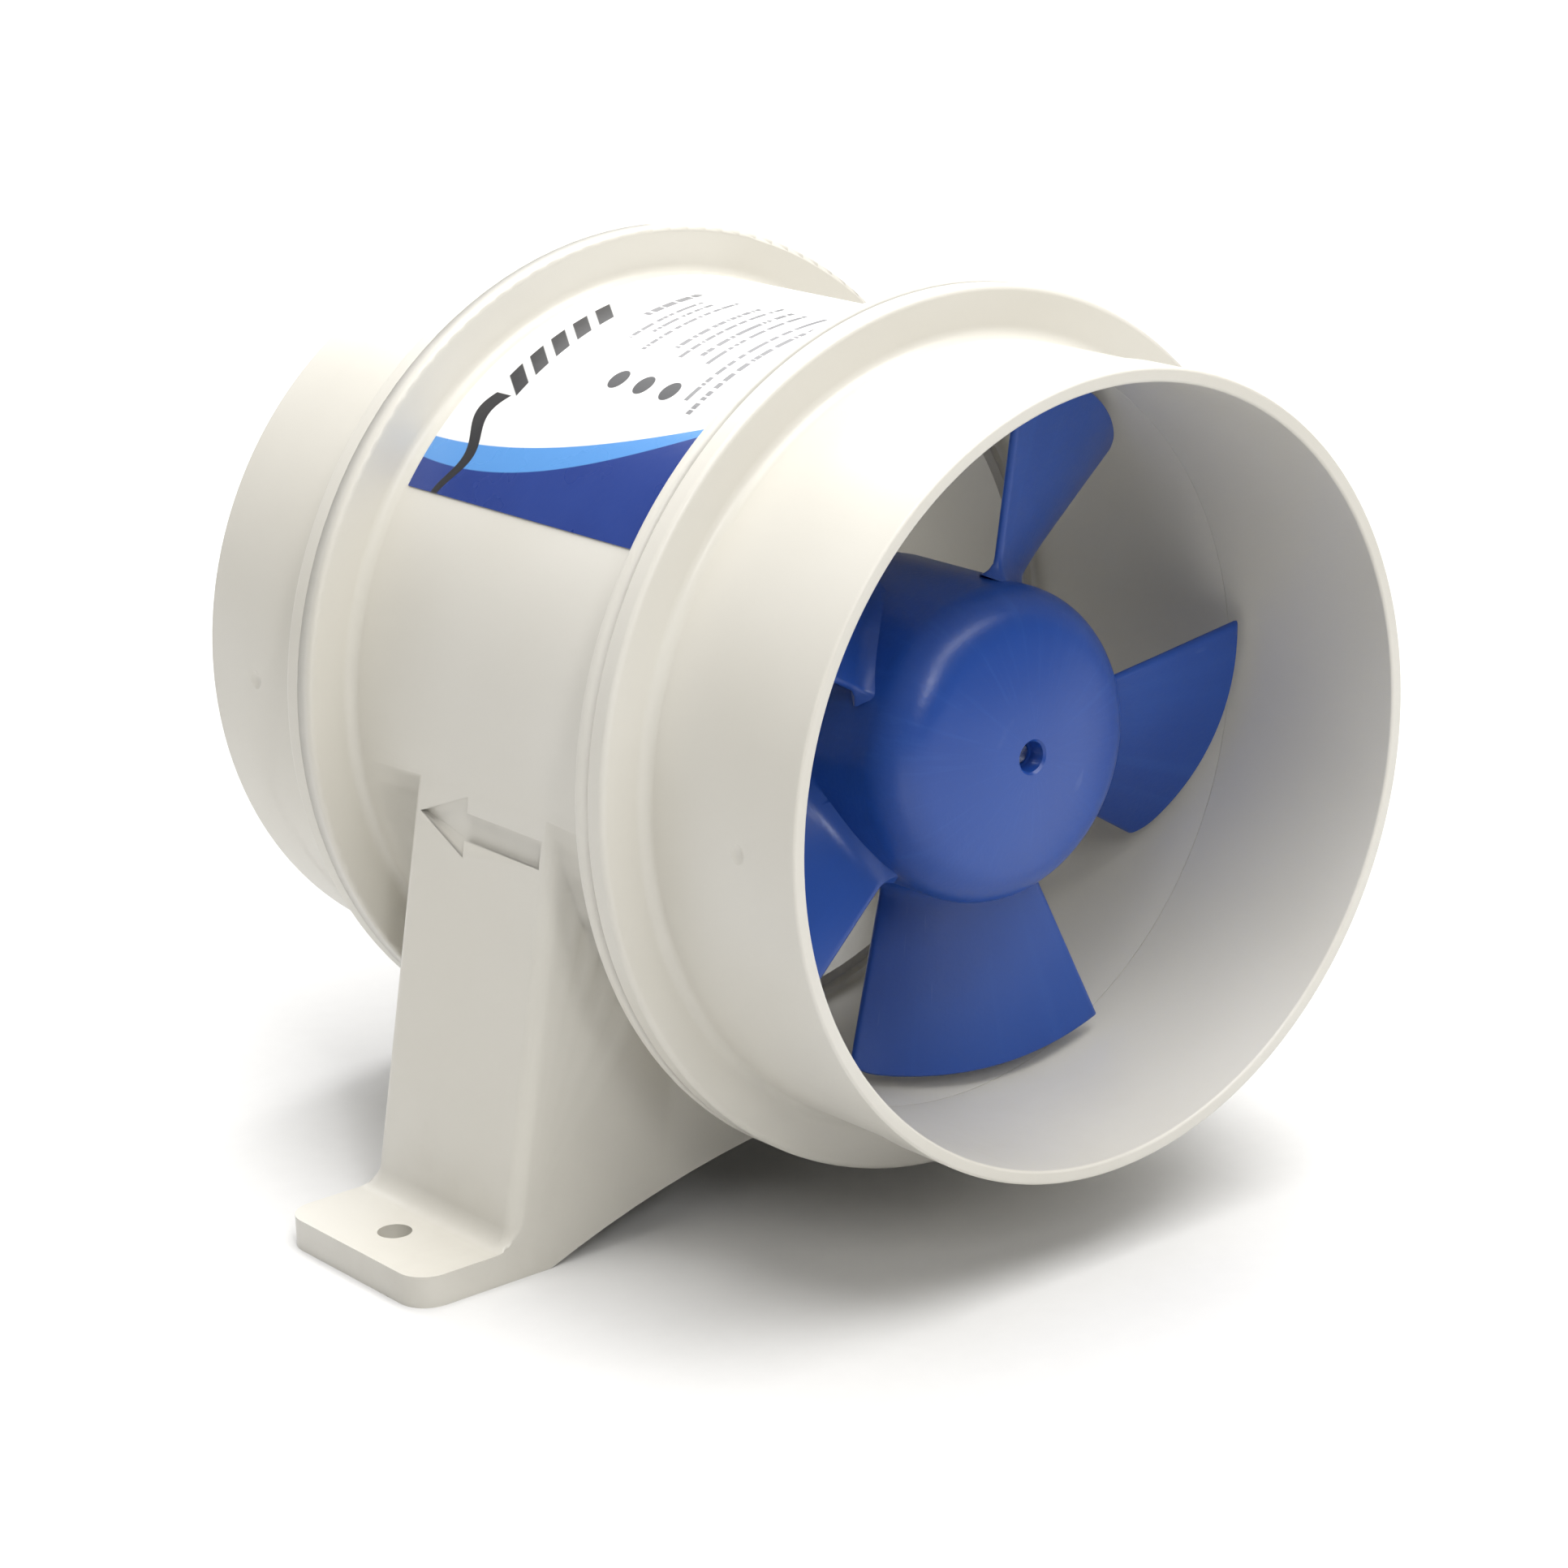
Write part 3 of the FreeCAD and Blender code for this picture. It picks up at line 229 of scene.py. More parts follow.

# %% [markdown]
# ## White moulded plastic
# The barrel, spigots, cradle and cover are one warm white ABS.  Moulded ABS isn't perfectly even: it yellows
# in slow clouds, it has a faint orange-peel from the tool and hair-fine flow marks, it is darker and rougher
# in patches towards the bottom, and it rubs shinier where hands go.

# %% Mix the white plastic
def white_plastic():
    material, tree, place = start_material("white_moulded_plastic")
    clouds = noise(tree, place, 16.0, 2.0)
    specks = noise(tree, place, 1400.0, 2.0)
    peel = noise(tree, place, 420.0, 2.0, 0.5)
    flow = noise(tree, stretch(tree, place, (60.0, 900.0, 60.0)), 1.0, 2.0)
    rubs = noise(tree, stretch(tree, place, (700.0, 70.0, 700.0)), 1.0, 3.0)
    height = make_node(tree, "ShaderNodeSeparateXYZ", inputs={"Vector": place}, output="Z")
    # Darker, rougher patches in the lowest three centimetres, broken up by noise.
    low_patches = (1 - height.ramp(0.0, 0.03)) * noise(tree, place, 60.0, 4.0).ramp(0.45, 0.75)
    warm = blend_colour(tree, clouds.ramp(0.35, 0.7), (0.640, 0.618, 0.556), (0.690, 0.672, 0.620))
    fleck = blend_colour(tree, specks.ramp(0.62, 0.8) * 0.10, warm, (0.60, 0.57, 0.50))
    colour = blend_colour(tree, low_patches * 0.22, fleck, (0.47, 0.44, 0.38))
    roughness = 0.27 + clouds * 0.10 + rubs.ramp(0.55, 0.8) * 0.07 + low_patches * 0.2
    relief = peel * 0.55 + specks * 0.15 + flow * 0.08 + rubs * 0.05
    return close_material(material, tree, colour, roughness, relief, 0.00003)


# %% [markdown]
# ## Blue moulded nylon
# The impeller is one moulding in a deep blue.  The plastic enters at the nose and flows outwards, which
# leaves faint streaks that run away from the axis, and the tool leaves a very fine texture.

# %% Mix the blue plastic
def from_axis(tree, place):
    """Coordinates about the duct: how far out, and the direction as sine and cosine."""
    centred = stretch(tree, place, (1.0, 1.0, 1.0), location=(0.0, 0.0, -AXIS_Z))
    split = tree.nodes.new("ShaderNodeSeparateXYZ")
    tree.links.new(centred.socket, split.inputs[0])
    across, along, up = (Flow(tree, split.outputs[index]) for index in range(3))
    out = (across * across + up * up) ** 0.5
    return centred, across, along, up, out


def blue_plastic():
    material, tree, place = start_material("blue_moulded_nylon")
    centred, across, along, up, out = from_axis(tree, place)
    safe = out + 0.0005
    spoke = make_node(tree, "ShaderNodeCombineXYZ", inputs={0: across / safe, 1: up / safe, 2: along * 12.0})
    streaks = noise(tree, spoke, 14.0, 4.0)
    clouds = noise(tree, place, 35.0, 2.0)
    grain = noise(tree, place, 1500.0, 2.0)
    scuffs = noise(tree, stretch(tree, place, (90.0, 1500.0, 90.0), rotation=(0.3, 0.0, 0.4)), 1.0, 3.0)
    base = blend_colour(tree, clouds.ramp(0.3, 0.7), (0.012, 0.060, 0.310), (0.016, 0.074, 0.355))
    streaked = blend_colour(tree, streaks.ramp(0.5, 0.8) * 0.35, base, (0.026, 0.098, 0.405))
    colour = blend_colour(tree, scuffs.ramp(0.68, 0.8) * 0.12, streaked, (0.20, 0.28, 0.52))
    roughness = 0.24 + streaks * 0.10 + grain * 0.05
    relief = grain * 0.5 + streaks * 0.3 + scuffs * 0.2
    return close_material(material, tree, colour, roughness, relief, 0.00004)


print("plastics mixed")

# %% [markdown]
# ## Metals, rubber and the small parts
# The motor's own parts are hidden in the sleeve, but they are real pieces, so each gets a finish at its real
# scale: drawn zinc on the can, stacked sheets on the core, wire on the windings, turned marks on the brass.
# Each is one row in a table, because they differ only in colours, in how the pattern is stretched, and in
# how metallic they are.

# %% List the small finishes
SMALL_FINISHES = {
    # slot: (dark, light, stretch, roughness, spread, relief, metallic)
    "dark_plastic": ((0.016, 0.016, 0.018), (0.030, 0.030, 0.033), (700, 700, 700), 0.42, 0.15, 0.00006, 0.0),
    "nylon": ((0.66, 0.62, 0.52), (0.75, 0.72, 0.64), (500, 500, 500), 0.38, 0.12, 0.00004, 0.0),
    "steel_case": ((0.48, 0.49, 0.50), (0.62, 0.63, 0.64), (1600, 90, 1600), 0.26, 0.18, 0.00003, 1.0),
    "spring_steel": ((0.20, 0.22, 0.27), (0.36, 0.38, 0.42), (300, 2200, 300), 0.28, 0.16, 0.00003, 1.0),
    "lamination": ((0.16, 0.16, 0.17), (0.42, 0.42, 0.43), (20, 2000, 20), 0.40, 0.20, 0.00010, 1.0),
    "screw_steel": ((0.50, 0.51, 0.52), (0.68, 0.68, 0.68), (1300, 1300, 1300), 0.22, 0.15, 0.00002, 1.0),
    "sintered_bronze": ((0.28, 0.18, 0.08), (0.52, 0.36, 0.18), (2400, 2400, 2400), 0.46, 0.20, 0.00008, 1.0),
    "brass": ((0.60, 0.43, 0.16), (0.78, 0.60, 0.27), (200, 1500, 900), 0.24, 0.18, 0.00002, 1.0),
    "copper": ((0.38, 0.14, 0.05), (0.70, 0.32, 0.15), (1500, 160, 1500), 0.28, 0.20, 0.00015, 1.0),
    "ferrite": ((0.030, 0.030, 0.032), (0.085, 0.085, 0.090), (1100, 1100, 1100), 0.52, 0.20, 0.00006, 0.0),
    "carbon": ((0.020, 0.020, 0.022), (0.070, 0.068, 0.066), (1800, 1800, 1800), 0.50, 0.20, 0.00006, 0.3),
    "ceramic": ((0.42, 0.17, 0.04), (0.58, 0.28, 0.08), (350, 350, 350), 0.22, 0.12, 0.00008, 0.0),
    "rubber": ((0.012, 0.012, 0.012), (0.028, 0.027, 0.026), (900, 900, 900), 0.58, 0.18, 0.00008, 0.0),
}


def small_finish(slot):
    dark, light, scale, roughness, spread, relief, metallic = SMALL_FINISHES[slot]
    material, tree, place = start_material(slot + "_finish")
    pattern = noise(tree, stretch(tree, place, tuple(float(value) for value in scale)), 1.0, 4.0)
    clouds = noise(tree, place, 120.0, 2.0)
    shade = pattern.ramp(0.32, 0.70) * 0.7 + clouds * 0.3
    colour = blend_colour(tree, shade, dark, light)
    return close_material(material, tree, colour, roughness + (pattern - 0.5) * spread, pattern, relief,
                          metallic=metallic)


finishes = {slot: small_finish(slot) for slot in SMALL_FINISHES}
finishes["white_plastic"] = white_plastic()
finishes["blue_plastic"] = blue_plastic()
print(len(finishes), "finishes")

# %% [markdown]
# ## The sticker's print
# A printed film is wrapped round the upper left of the barrel.  Its art is drawn from masks on the film's
# own UV map: a dark blue field with a light wave above it along the lower edge, a ribbon and leaning bars,
# three ovals, and rows of broken grey bars where small print would be.  Nothing on it can be read.

# %% Print the sticker
PRINT_LENGTH = 53.0      # millimetres along the duct
PRINT_START = 74.5       # degrees round the barrel from +X, at v = 0
PRINT_ANGLE = 70.0
WAVE_FRONT, WAVE_SPAN = -18.0, 46.0
MARK_PLACE = 19.4        # millimetres along the duct to the middle of the device
BARS_START, BARS_END, BAR_STEP = 104.0, 125.6, 4.4          # degrees
RIBBON_START, RIBBON_KNOT, RIBBON_END = 126.5, 126.0, 147.0
OVAL_ANGLE, OVAL_HALF_WIDTH, OVAL_HALF_HEIGHT = 119.0, 1.45, 2.0


def above(value, edge, soft=0.08):
    return value.ramp(edge - soft, edge + soft)


def between(value, low, high, soft=0.08):
    return above(value, low, soft) * (1 - above(value, high, soft))


def label_film():
    material, tree, place = start_material("printed_film")
    flat = make_node(tree, "ShaderNodeUVMap", {"uv_map": "print"})
    split = tree.nodes.new("ShaderNodeSeparateXYZ")
    tree.links.new(flat.socket, split.inputs[0])
    along = Flow(tree, split.outputs[0]) * PRINT_LENGTH - PRINT_LENGTH / 2
    turn = Flow(tree, split.outputs[1]) * PRINT_ANGLE + PRINT_START
    run = (along - WAVE_FRONT) / WAVE_SPAN
    light_edge = 125.0 + run * 23.0 - run * run * 12.0
    dark_edge = 127.0 + run * 30.5 - run * run * 18.0
    light = above(turn - light_edge, 0.0, 0.12)
    dark = above(turn - dark_edge, 0.0, 0.12)
    mottle = noise(tree, place, 90.0, 3.0)
    paper = blend_colour(tree, mottle, (0.84, 0.84, 0.83), (0.88, 0.88, 0.87))
    colour = blend_colour(tree, light, paper, (0.095, 0.285, 0.640))
    deep = blend_colour(tree, mottle, (0.014, 0.036, 0.200), (0.020, 0.052, 0.255))
    colour = blend_colour(tree, dark, colour, deep)
    ink = print_marks(tree, along, turn)
    colour = blend_colour(tree, ink, colour, (0.022, 0.022, 0.026))
    grey = print_rows(tree, along, turn)
    colour = blend_colour(tree, grey * 0.9, colour, (0.09, 0.09, 0.10))
    roughness = 0.24 + mottle * 0.08 + ink * 0.06
    relief = noise(tree, place, 800.0, 2.0) * 0.5 + ink * 0.3
    return close_material(material, tree, colour, roughness, relief, 0.00003)


def print_marks(tree, along, turn):
    """A plain device of leaning bars and a waving ribbon, and three ovals, in near-black ink."""
    lean = turn + (along - MARK_PLACE) * 0.7
    step = (lean - BARS_START) / BAR_STEP
    bar = step - step.math("FLOOR")
    column = between(along, MARK_PLACE - 2.2, MARK_PLACE + 2.4)
    bars = between(bar, 0.08, 0.74, 0.04) * between(lean, BARS_START, BARS_END) * column
    sway = MARK_PLACE + 1.5 * ((turn - RIBBON_KNOT) * 0.40).math("SINE")
    width = 1.6 - (turn - RIBBON_KNOT) * 0.05
    inside = 1 - above((along - sway).math("ABSOLUTE") - width, 0.0)
    marks = bars + inside * between(turn, RIBBON_START, RIBBON_END)
    for centre in (2.4, -2.8, -8.1):
        wide = (along - centre) / OVAL_HALF_WIDTH
        tall = (turn - OVAL_ANGLE) / OVAL_HALF_HEIGHT
        marks = marks + (1 - above(wide * wide + tall * tall, 1.0, 0.12))
    return marks.math("MINIMUM", 1.0)


PRINT_ROWS = (
    # place along the duct, half height, first and last angle
    (13.0, 0.75, 93.0, 103.5), (9.4, 0.42, 96.0, 110.0), (7.2, 0.42, 96.0, 108.0),
    (4.6, 0.42, 93.0, 112.0), (-0.4, 0.50, 94.0, 110.0), (-3.0, 0.42, 92.0, 112.0),
    (-6.0, 0.50, 93.0, 110.5), (-8.6, 0.42, 93.0, 112.0), (-12.2, 0.42, 92.0, 120.0),
    (-14.8, 0.50, 92.0, 122.5))


def print_rows(tree, along, turn):
    """Rows of bars, broken into uneven dashes by a band of noise that differs from row to row."""
    rows = None
    for number, (centre, half, first, last) in enumerate(PRINT_ROWS):
        grain = make_node(tree, "ShaderNodeTexNoise", {"noise_dimensions": "1D"},
                          {"W": turn * 1.1 + 17.0 * number, "Scale": 1.0, "Detail": 1.0})
        band = between(along, centre - half, centre + half) * between(turn, first, last)
        row = band * above(grain, 0.40, 0.03)
        rows = row if rows is None else rows + row
    return rows


finishes["label_film"] = label_film()
print("sticker printed with", len(PRINT_ROWS), "rows")

# %% [markdown]
# ## Finish every CAD node
# The record names the slot of each node, so one loop gives every node its finish.  Most inner pieces keep
# their CAD shape; the pieces that show get better meshes further down.

# %% Assign the finishes
slot_of = {}
for part in frame["record"]["subparts"]:
    slot_of[part["node"]] = part["material_slot"]
for name, node in nodes.items():
    node.data.materials.clear()
    node.data.materials.append(finishes[slot_of[name]])
print("finished", len(nodes), "nodes")

# %% [markdown]
# ## Smooth skins for the mouldings that show
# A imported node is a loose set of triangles, so light breaks at every facet.  Merging a copy, marking the
# real corners sharp and weighting the normals by face size gives a moulding's even gloss on the same shape.

# %% Make a smooth skin from a node
def take_result(obj, name):
    """The evaluated mesh of an object, as a plain mesh on a new object at the origin."""
    evaluated = obj.evaluated_get(bpy.context.evaluated_depsgraph_get())
    mesh = bpy.data.meshes.new_from_object(evaluated)
    mesh.name = name
    result = bpy.data.objects.new(name, mesh)
    bpy.context.scene.collection.objects.link(result)
    bpy.data.objects.remove(obj)
    return result


def even_normals(obj, corner=32.0):
    """Mark corners sharper than that many degrees, shade the rest smooth, and weight the normals."""
    obj.data.shade_smooth()
    obj.data.set_sharp_from_angle(angle=math.radians(corner))
    modifier = obj.modifiers.new("even_normals", "WEIGHTED_NORMAL")
    modifier.keep_sharp = True
    name = obj.name
    obj.name = name + "_draft"
    return take_result(obj, name)


def new_piece(name, mesh, slot):
    obj = bpy.data.objects.new(name, mesh)
    bpy.context.scene.collection.objects.link(obj)
    mesh.materials.clear()
    mesh.materials.append(finishes[slot])
    return obj


def skin_of(node_name, name):
    mesh = nodes[node_name].data.copy()
    work = bmesh.new()
    work.from_mesh(mesh)
    bmesh.ops.remove_doubles(work, verts=work.verts, dist=0.000004)
    # Flat pairs of triangles become quads, so that each strip of a rounded corner weighs the same.
    bmesh.ops.join_triangles(work, faces=work.faces, angle_face_threshold=math.radians(0.3),
                             angle_shape_threshold=math.pi)
    work.to_mesh(mesh)
    work.free()
    return even_normals(new_piece(name, mesh, slot_of[node_name]))


def settle(piece, body, slot, *node_names):
    """Tell the frame what a finished piece rides on and what it replaces; the slot argument is not used."""
    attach(piece, body)
    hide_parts(*node_names)
    print(piece.name, len(piece.data.polygons), "faces on", body)


for node_name in ("barrel_housing", "motor_cradle", "motor_cover", "cable_grommet", "motor_can"):
    settle(skin_of(node_name, node_name + "_skin"), "housing", slot_of[node_name], node_name)

# %% [markdown]
# ## Turned shapes
# A hose spigot, a hub and a shoulder are the same all the way round, so each is one outline turned about
# the duct's axis.  The outline is a list of (radius, place along the duct) in metres; rounded corners are
# worked out from the corner's two sides, as a fillet is.

# %% Round corners, and turn an outline
def rounded(corners, steps=6):
    """Replace each corner (radius, y, round) by an arc of that radius that touches both of its sides."""
    outline = []
    for index, (x, y, radius) in enumerate(corners):
        here = Vector((x, y))
        if radius == 0:
            outline.append(here)
            continue
        before = (Vector(corners[index - 1][:2]) - here).normalized()
        after = (Vector(corners[(index + 1) % len(corners)][:2]) - here).normalized()
        half = before.angle(after) / 2
        reach = radius / math.tan(half)
        centre = here + (before + after).normalized() * (radius / math.sin(half))
        start, end = here + before * reach - centre, here + after * reach - centre
        turn = start.angle_signed(end)
        outline += [centre + Matrix.Rotation(-turn * k / steps, 2) @ start for k in range(steps + 1)]
    return outline


def turned_mesh(name, outline, around):
    """Turn a closed outline about the duct's axis into a closed ring of quads."""
    angles = np.arange(around) * (2 * math.pi / around)
    radii = np.array([point.x for point in outline])
    stations = np.array([point.y for point in outline])
    points = np.empty((around, len(outline), 3))
    points[:, :, 0] = np.cos(angles)[:, None] * radii
    points[:, :, 1] = stations
    points[:, :, 2] = np.sin(angles)[:, None] * radii + AXIS_Z
    count = len(outline)
    ring = [(i * count + j, i * count + (j + 1) % count, (i + 1) % around * count + (j + 1) % count,
             (i + 1) % around * count + j) for i in range(around) for j in range(count)]
    mesh = bpy.data.meshes.new(name)
    mesh.from_pydata(points.reshape(-1, 3).tolist(), [], ring)
    work = bmesh.new()
    work.from_mesh(mesh)
    bmesh.ops.recalc_face_normals(work, faces=work.faces)
    work.to_mesh(mesh)
    work.free()
    return mesh


print("a test corner becomes", len(rounded([(0, 0, 0), (1, 0, 0.2), (1, 1, 0)])), "points")

# %% [markdown]
# ## One builder for Geometry Nodes trees
# The dimples on the spigots and the blades on the hub repeat round the axis.  Both trees are built with the
# same node helper as the materials, have named inputs for their sizes, and end in Realize Instances and Set
# Material, because the export drops instances.

# %% Build, run and clear a Geometry Nodes tree
class Repeat:
    """A Geometry Nodes tree with named inputs, run once on an object and then taken off it."""

    def __init__(self, name, sizes):
        self.tree = bpy.data.node_groups.new(name, "GeometryNodeTree")
        self.tree.interface.new_socket("Geometry", in_out="INPUT", socket_type="NodeSocketGeometry")
        self.tree.interface.new_socket("Geometry", in_out="OUTPUT", socket_type="NodeSocketGeometry")
        self.sizes = sizes
        self.identifiers = {}
        for title, value in sizes.items():
            kind = {int: "NodeSocketInt", float: "NodeSocketFloat"}.get(type(value), "NodeSocketObject")
            socket = self.tree.interface.new_socket(title, in_out="INPUT", socket_type=kind)
            self.identifiers[title] = socket.identifier
        self.start = self.tree.nodes.new("NodeGroupInput")

    def given(self, title):
        return Flow(self.tree, self.start.outputs[title])

    def node(self, kind, settings=None, inputs=None, output=0):
        return make_node(self.tree, kind, settings, inputs, output)

    def end(self, geometry, material):
        whole = self.node("GeometryNodeRealizeInstances", inputs={0: geometry})
        dressed = self.node("GeometryNodeSetMaterial", inputs={"Geometry": whole, "Material": material})
        finish = self.tree.nodes.new("NodeGroupOutput")
        self.tree.links.new(dressed.socket, finish.inputs[0])

    def run(self, mesh, name):
        draft = bpy.data.objects.new(name + "_draft", mesh)
        bpy.context.scene.collection.objects.link(draft)
        modifier = draft.modifiers.new(self.tree.name, "NODES")
        modifier.node_group = self.tree
        for title, value in self.sizes.items():
            modifier[self.identifiers[title]] = value
        bpy.context.view_layer.update()
        evaluated = draft.evaluated_get(bpy.context.evaluated_depsgraph_get())
        result_mesh = bpy.data.meshes.new_from_object(evaluated)
        draft.modifiers.remove(modifier)
        bpy.data.objects.remove(draft)
        result_mesh.name = name
        result = bpy.data.objects.new(name, result_mesh)
        bpy.context.scene.collection.objects.link(result)
        return result


print("tree builder ready")

# %% [markdown]
# ## Hose spigots
# Each spigot is a thin tube with a slightly raised lip for the hose, half of the shoulder ring, and a socket
# that the barrel's tongue is glued into.  Four shallow round dimples stand a quarter turn apart, of the kind
# that locating pins in a mould leave.  The tube is turned; the dimples are spheres set out on a circle and
# taken away.

# %% Turn the spigots and press their dimples
MM = 0.001
LIP_RADIUS, TUBE_RADIUS, BORE_RADIUS = 51.0 * MM, 50.75 * MM, 49.2 * MM
LIP_START, LIP_RAMP = 54.1 * MM, 1.2 * MM
SHOULDER_FACE, SEAM, TONGUE_END = 34.3 * MM, 31.4 * MM, 33.0 * MM
SOCKET_RADIUS = 50.8 * MM
STOP_RADIUS, STOP_END, STOP_RAMP = 46.9 * MM, 34.4 * MM, 1.8 * MM
MOUTH_ROUND, GROOVE_ROUND, SHOULDER_ROUND, SEAM_ROUND = 0.4 * MM, 1.6 * MM, 0.8 * MM, 0.12 * MM
DIMPLES, DIMPLE_INSET, BALL_RADIUS, BALL_LIFT = 4, 10.8 * MM, 2.59 * MM, 2.24 * MM
AROUND = 288


def dimple_tree(side):
    tree = Repeat("round_dimples", {
        "Count": DIMPLES, "Centre Radius": TUBE_RADIUS + BALL_LIFT, "Ball Radius": BALL_RADIUS,
        "Place Along": side * (abs(MOUTH_Y) - DIMPLE_INSET)})
    circle = tree.node("GeometryNodeMeshCircle", inputs={
        "Vertices": tree.given("Count"), "Radius": tree.given("Centre Radius")})
    offset = tree.node("ShaderNodeCombineXYZ", inputs={1: tree.given("Place Along"), 2: AXIS_Z})
    stood = tree.node("GeometryNodeTransform", inputs={
        "Geometry": circle, "Translation": offset, "Rotation": (math.pi / 2, 0.0, 0.0)})
    ball = tree.node("GeometryNodeMeshUVSphere", inputs={
        "Segments": 40, "Rings": 20, "Radius": tree.given("Ball Radius")})
    balls = tree.node("GeometryNodeInstanceOnPoints", inputs={"Points": stood, "Instance": ball})
    solid = tree.node("GeometryNodeRealizeInstances", inputs={0: balls})
    cut = tree.node("GeometryNodeMeshBoolean", {"operation": "DIFFERENCE", "solver": "EXACT"},
                    {"Mesh 1": tree.given("Geometry"), "Mesh 2": solid})
    tree.end(cut, finishes["white_plastic"])
    return tree


def make_spigot(name, side, with_stop):
    mouth = abs(MOUTH_Y)
    corners = [(BORE_RADIUS, mouth, MOUTH_ROUND), (LIP_RADIUS, mouth, MOUTH_ROUND),
               (LIP_RADIUS, LIP_START, 0), (TUBE_RADIUS, LIP_START - LIP_RAMP, 0),
               (TUBE_RADIUS, SHOULDER_FACE, GROOVE_ROUND), (SHOULDER_RADIUS, SHOULDER_FACE, SHOULDER_ROUND),
               (SHOULDER_RADIUS, SEAM, SEAM_ROUND), (SOCKET_RADIUS, SEAM, 0), (SOCKET_RADIUS, TONGUE_END, 0)]
    if with_stop:
        corners += [(STOP_RADIUS, TONGUE_END, 0), (STOP_RADIUS, STOP_END, 0),
                    (BORE_RADIUS, STOP_END + STOP_RAMP, 0)]
    else:
        corners += [(BORE_RADIUS, TONGUE_END, 0)]
    outline = [Vector((point.x, side * point.y)) for point in rounded(corners)]
    piece = dimple_tree(side).run(turned_mesh(name, outline, AROUND), name)
    return even_normals(piece)


settle(make_spigot("inlet_spigot_ring", -1, False), "housing", "white_plastic", "inlet_collar")
settle(make_spigot("outlet_spigot_ring", 1, True), "housing", "white_plastic", "outlet_collar")

# %% [markdown]
# ## Impeller
# The hub is a domed cup with a boss for the shaft and a rib behind each blade.  A blade is a thin curved
# plate: its pitch is steep at the hub and flat at the tip, its middle is thicker than its edges, and it
# flares where it meets the hub.  One blade and one rib are written as grids of points; a Geometry Nodes
# tree sets five of them round the hub and joins them to it.

# %% Shape one blade
HUB_RADIUS, HUB_BORE, BOSS_RADIUS, SHAFT_BORE = 20.6 * MM, 18.6 * MM, 5.2 * MM, 1.62 * MM
NOSE, HUB_REAR, BOSS_REAR, SHAFT_FRONT = -47.6 * MM, -17.4 * MM, -19.6 * MM, -45.0 * MM
DOME_RADIUS, KNUCKLE = 64.1 * MM, 7.0 * MM
BLADES, FIRST_BLADE = 5, math.radians(-12.0)
BLADE_PLACE, HALF_DEPTH, HALF_SPAN = -30.4 * MM, 6.5 * MM, math.radians(20.0)
CAMBER, EDGE, SWELL = 0.06, 0.5 * MM, 0.45 * MM
TIP_RADIUS, ROOT = 47.0 * MM, 19.2 * MM
CORNER_ROUND, CORNER_DEPTH, TRAILING = 3.12 * MM, 2.8 * MM, -23.4 * MM
FLARE_WIDTH, FLARE_RISE = 2.4 * MM, 1.1 * MM
HUB_AROUND = 192
TIP_THINNING = 0.55      # the blade's last row is this much of its full thickness
RIB_HALF, RIB_OVERLAP, RIB_FRONT, RIB_REAR = 0.7 * MM, 0.5 * MM, 5.4 * MM, 2.0 * MM
NOSE_HOLE, NOSE_MOUTH, MOUTH_DEPTH = 2.0 * MM, 2.3 * MM, 0.35 * MM
RIM_ROUND, RIM_MIDDLE, BOSS_ROUND, BOSS_FLARE = 0.4 * MM, 0.12 * MM, 0.3 * MM, 1.0 * MM


def arc_height(place, half, rise):
    """Height of a shallow arc of that rise above its chord, at a place along the chord."""
    radius = (half * half + rise * rise) / (2 * rise)
    return math.sqrt(max(radius * radius - place * place, 0.0)) - (radius - rise)


def tip_limit(along):
    """The circle that the blades are trimmed to, rounded off at the trailing corner."""
    past = along - (TRAILING - CORNER_DEPTH)
    if past <= 0:
        return TIP_RADIUS
    past = min(past, CORNER_ROUND)
    return TIP_RADIUS - CORNER_ROUND + math.sqrt(CORNER_ROUND ** 2 - past ** 2)


def blade_point(out, share, face):
    """A point of the blade: out from the axis, share -1 to 1 from leading to trailing edge, face -1 to 1."""
    half_width = out * math.tan(HALF_SPAN)
    half = math.hypot(half_width, HALF_DEPTH)
    pitch = math.atan2(HALF_DEPTH, half_width)
    place = share * half
    middle = CAMBER * 2 * half
    round_edge = math.sqrt(max(1 - max(0.0, (abs(place) - half + EDGE) / EDGE) ** 2, 0.0))
    flare = max(0.0, 1 - (math.hypot(out, half_width * share) - HUB_RADIUS) / FLARE_WIDTH)
    rise = arc_height(place, half, middle)
    thick = EDGE * round_edge + arc_height(place, half, SWELL) + FLARE_RISE * flare ** 2
    height = -rise + face * thick
    place *= 1 + FLARE_RISE * flare ** 2 / half
    across = place * math.cos(pitch) - height * math.sin(pitch)
    along = BLADE_PLACE + place * math.sin(pitch) + height * math.cos(pitch)
    return across, along


def trimmed_out(share, face):
    """How far out the blade reaches at that share of its chord."""
    low, high = ROOT, TIP_RADIUS
    for _ in range(30):
        middle = (low + high) / 2
        across, along = blade_point(middle, share, face)
        if math.hypot(middle, across) < tip_limit(along):
            low = middle
        else:
            high = middle
    return low


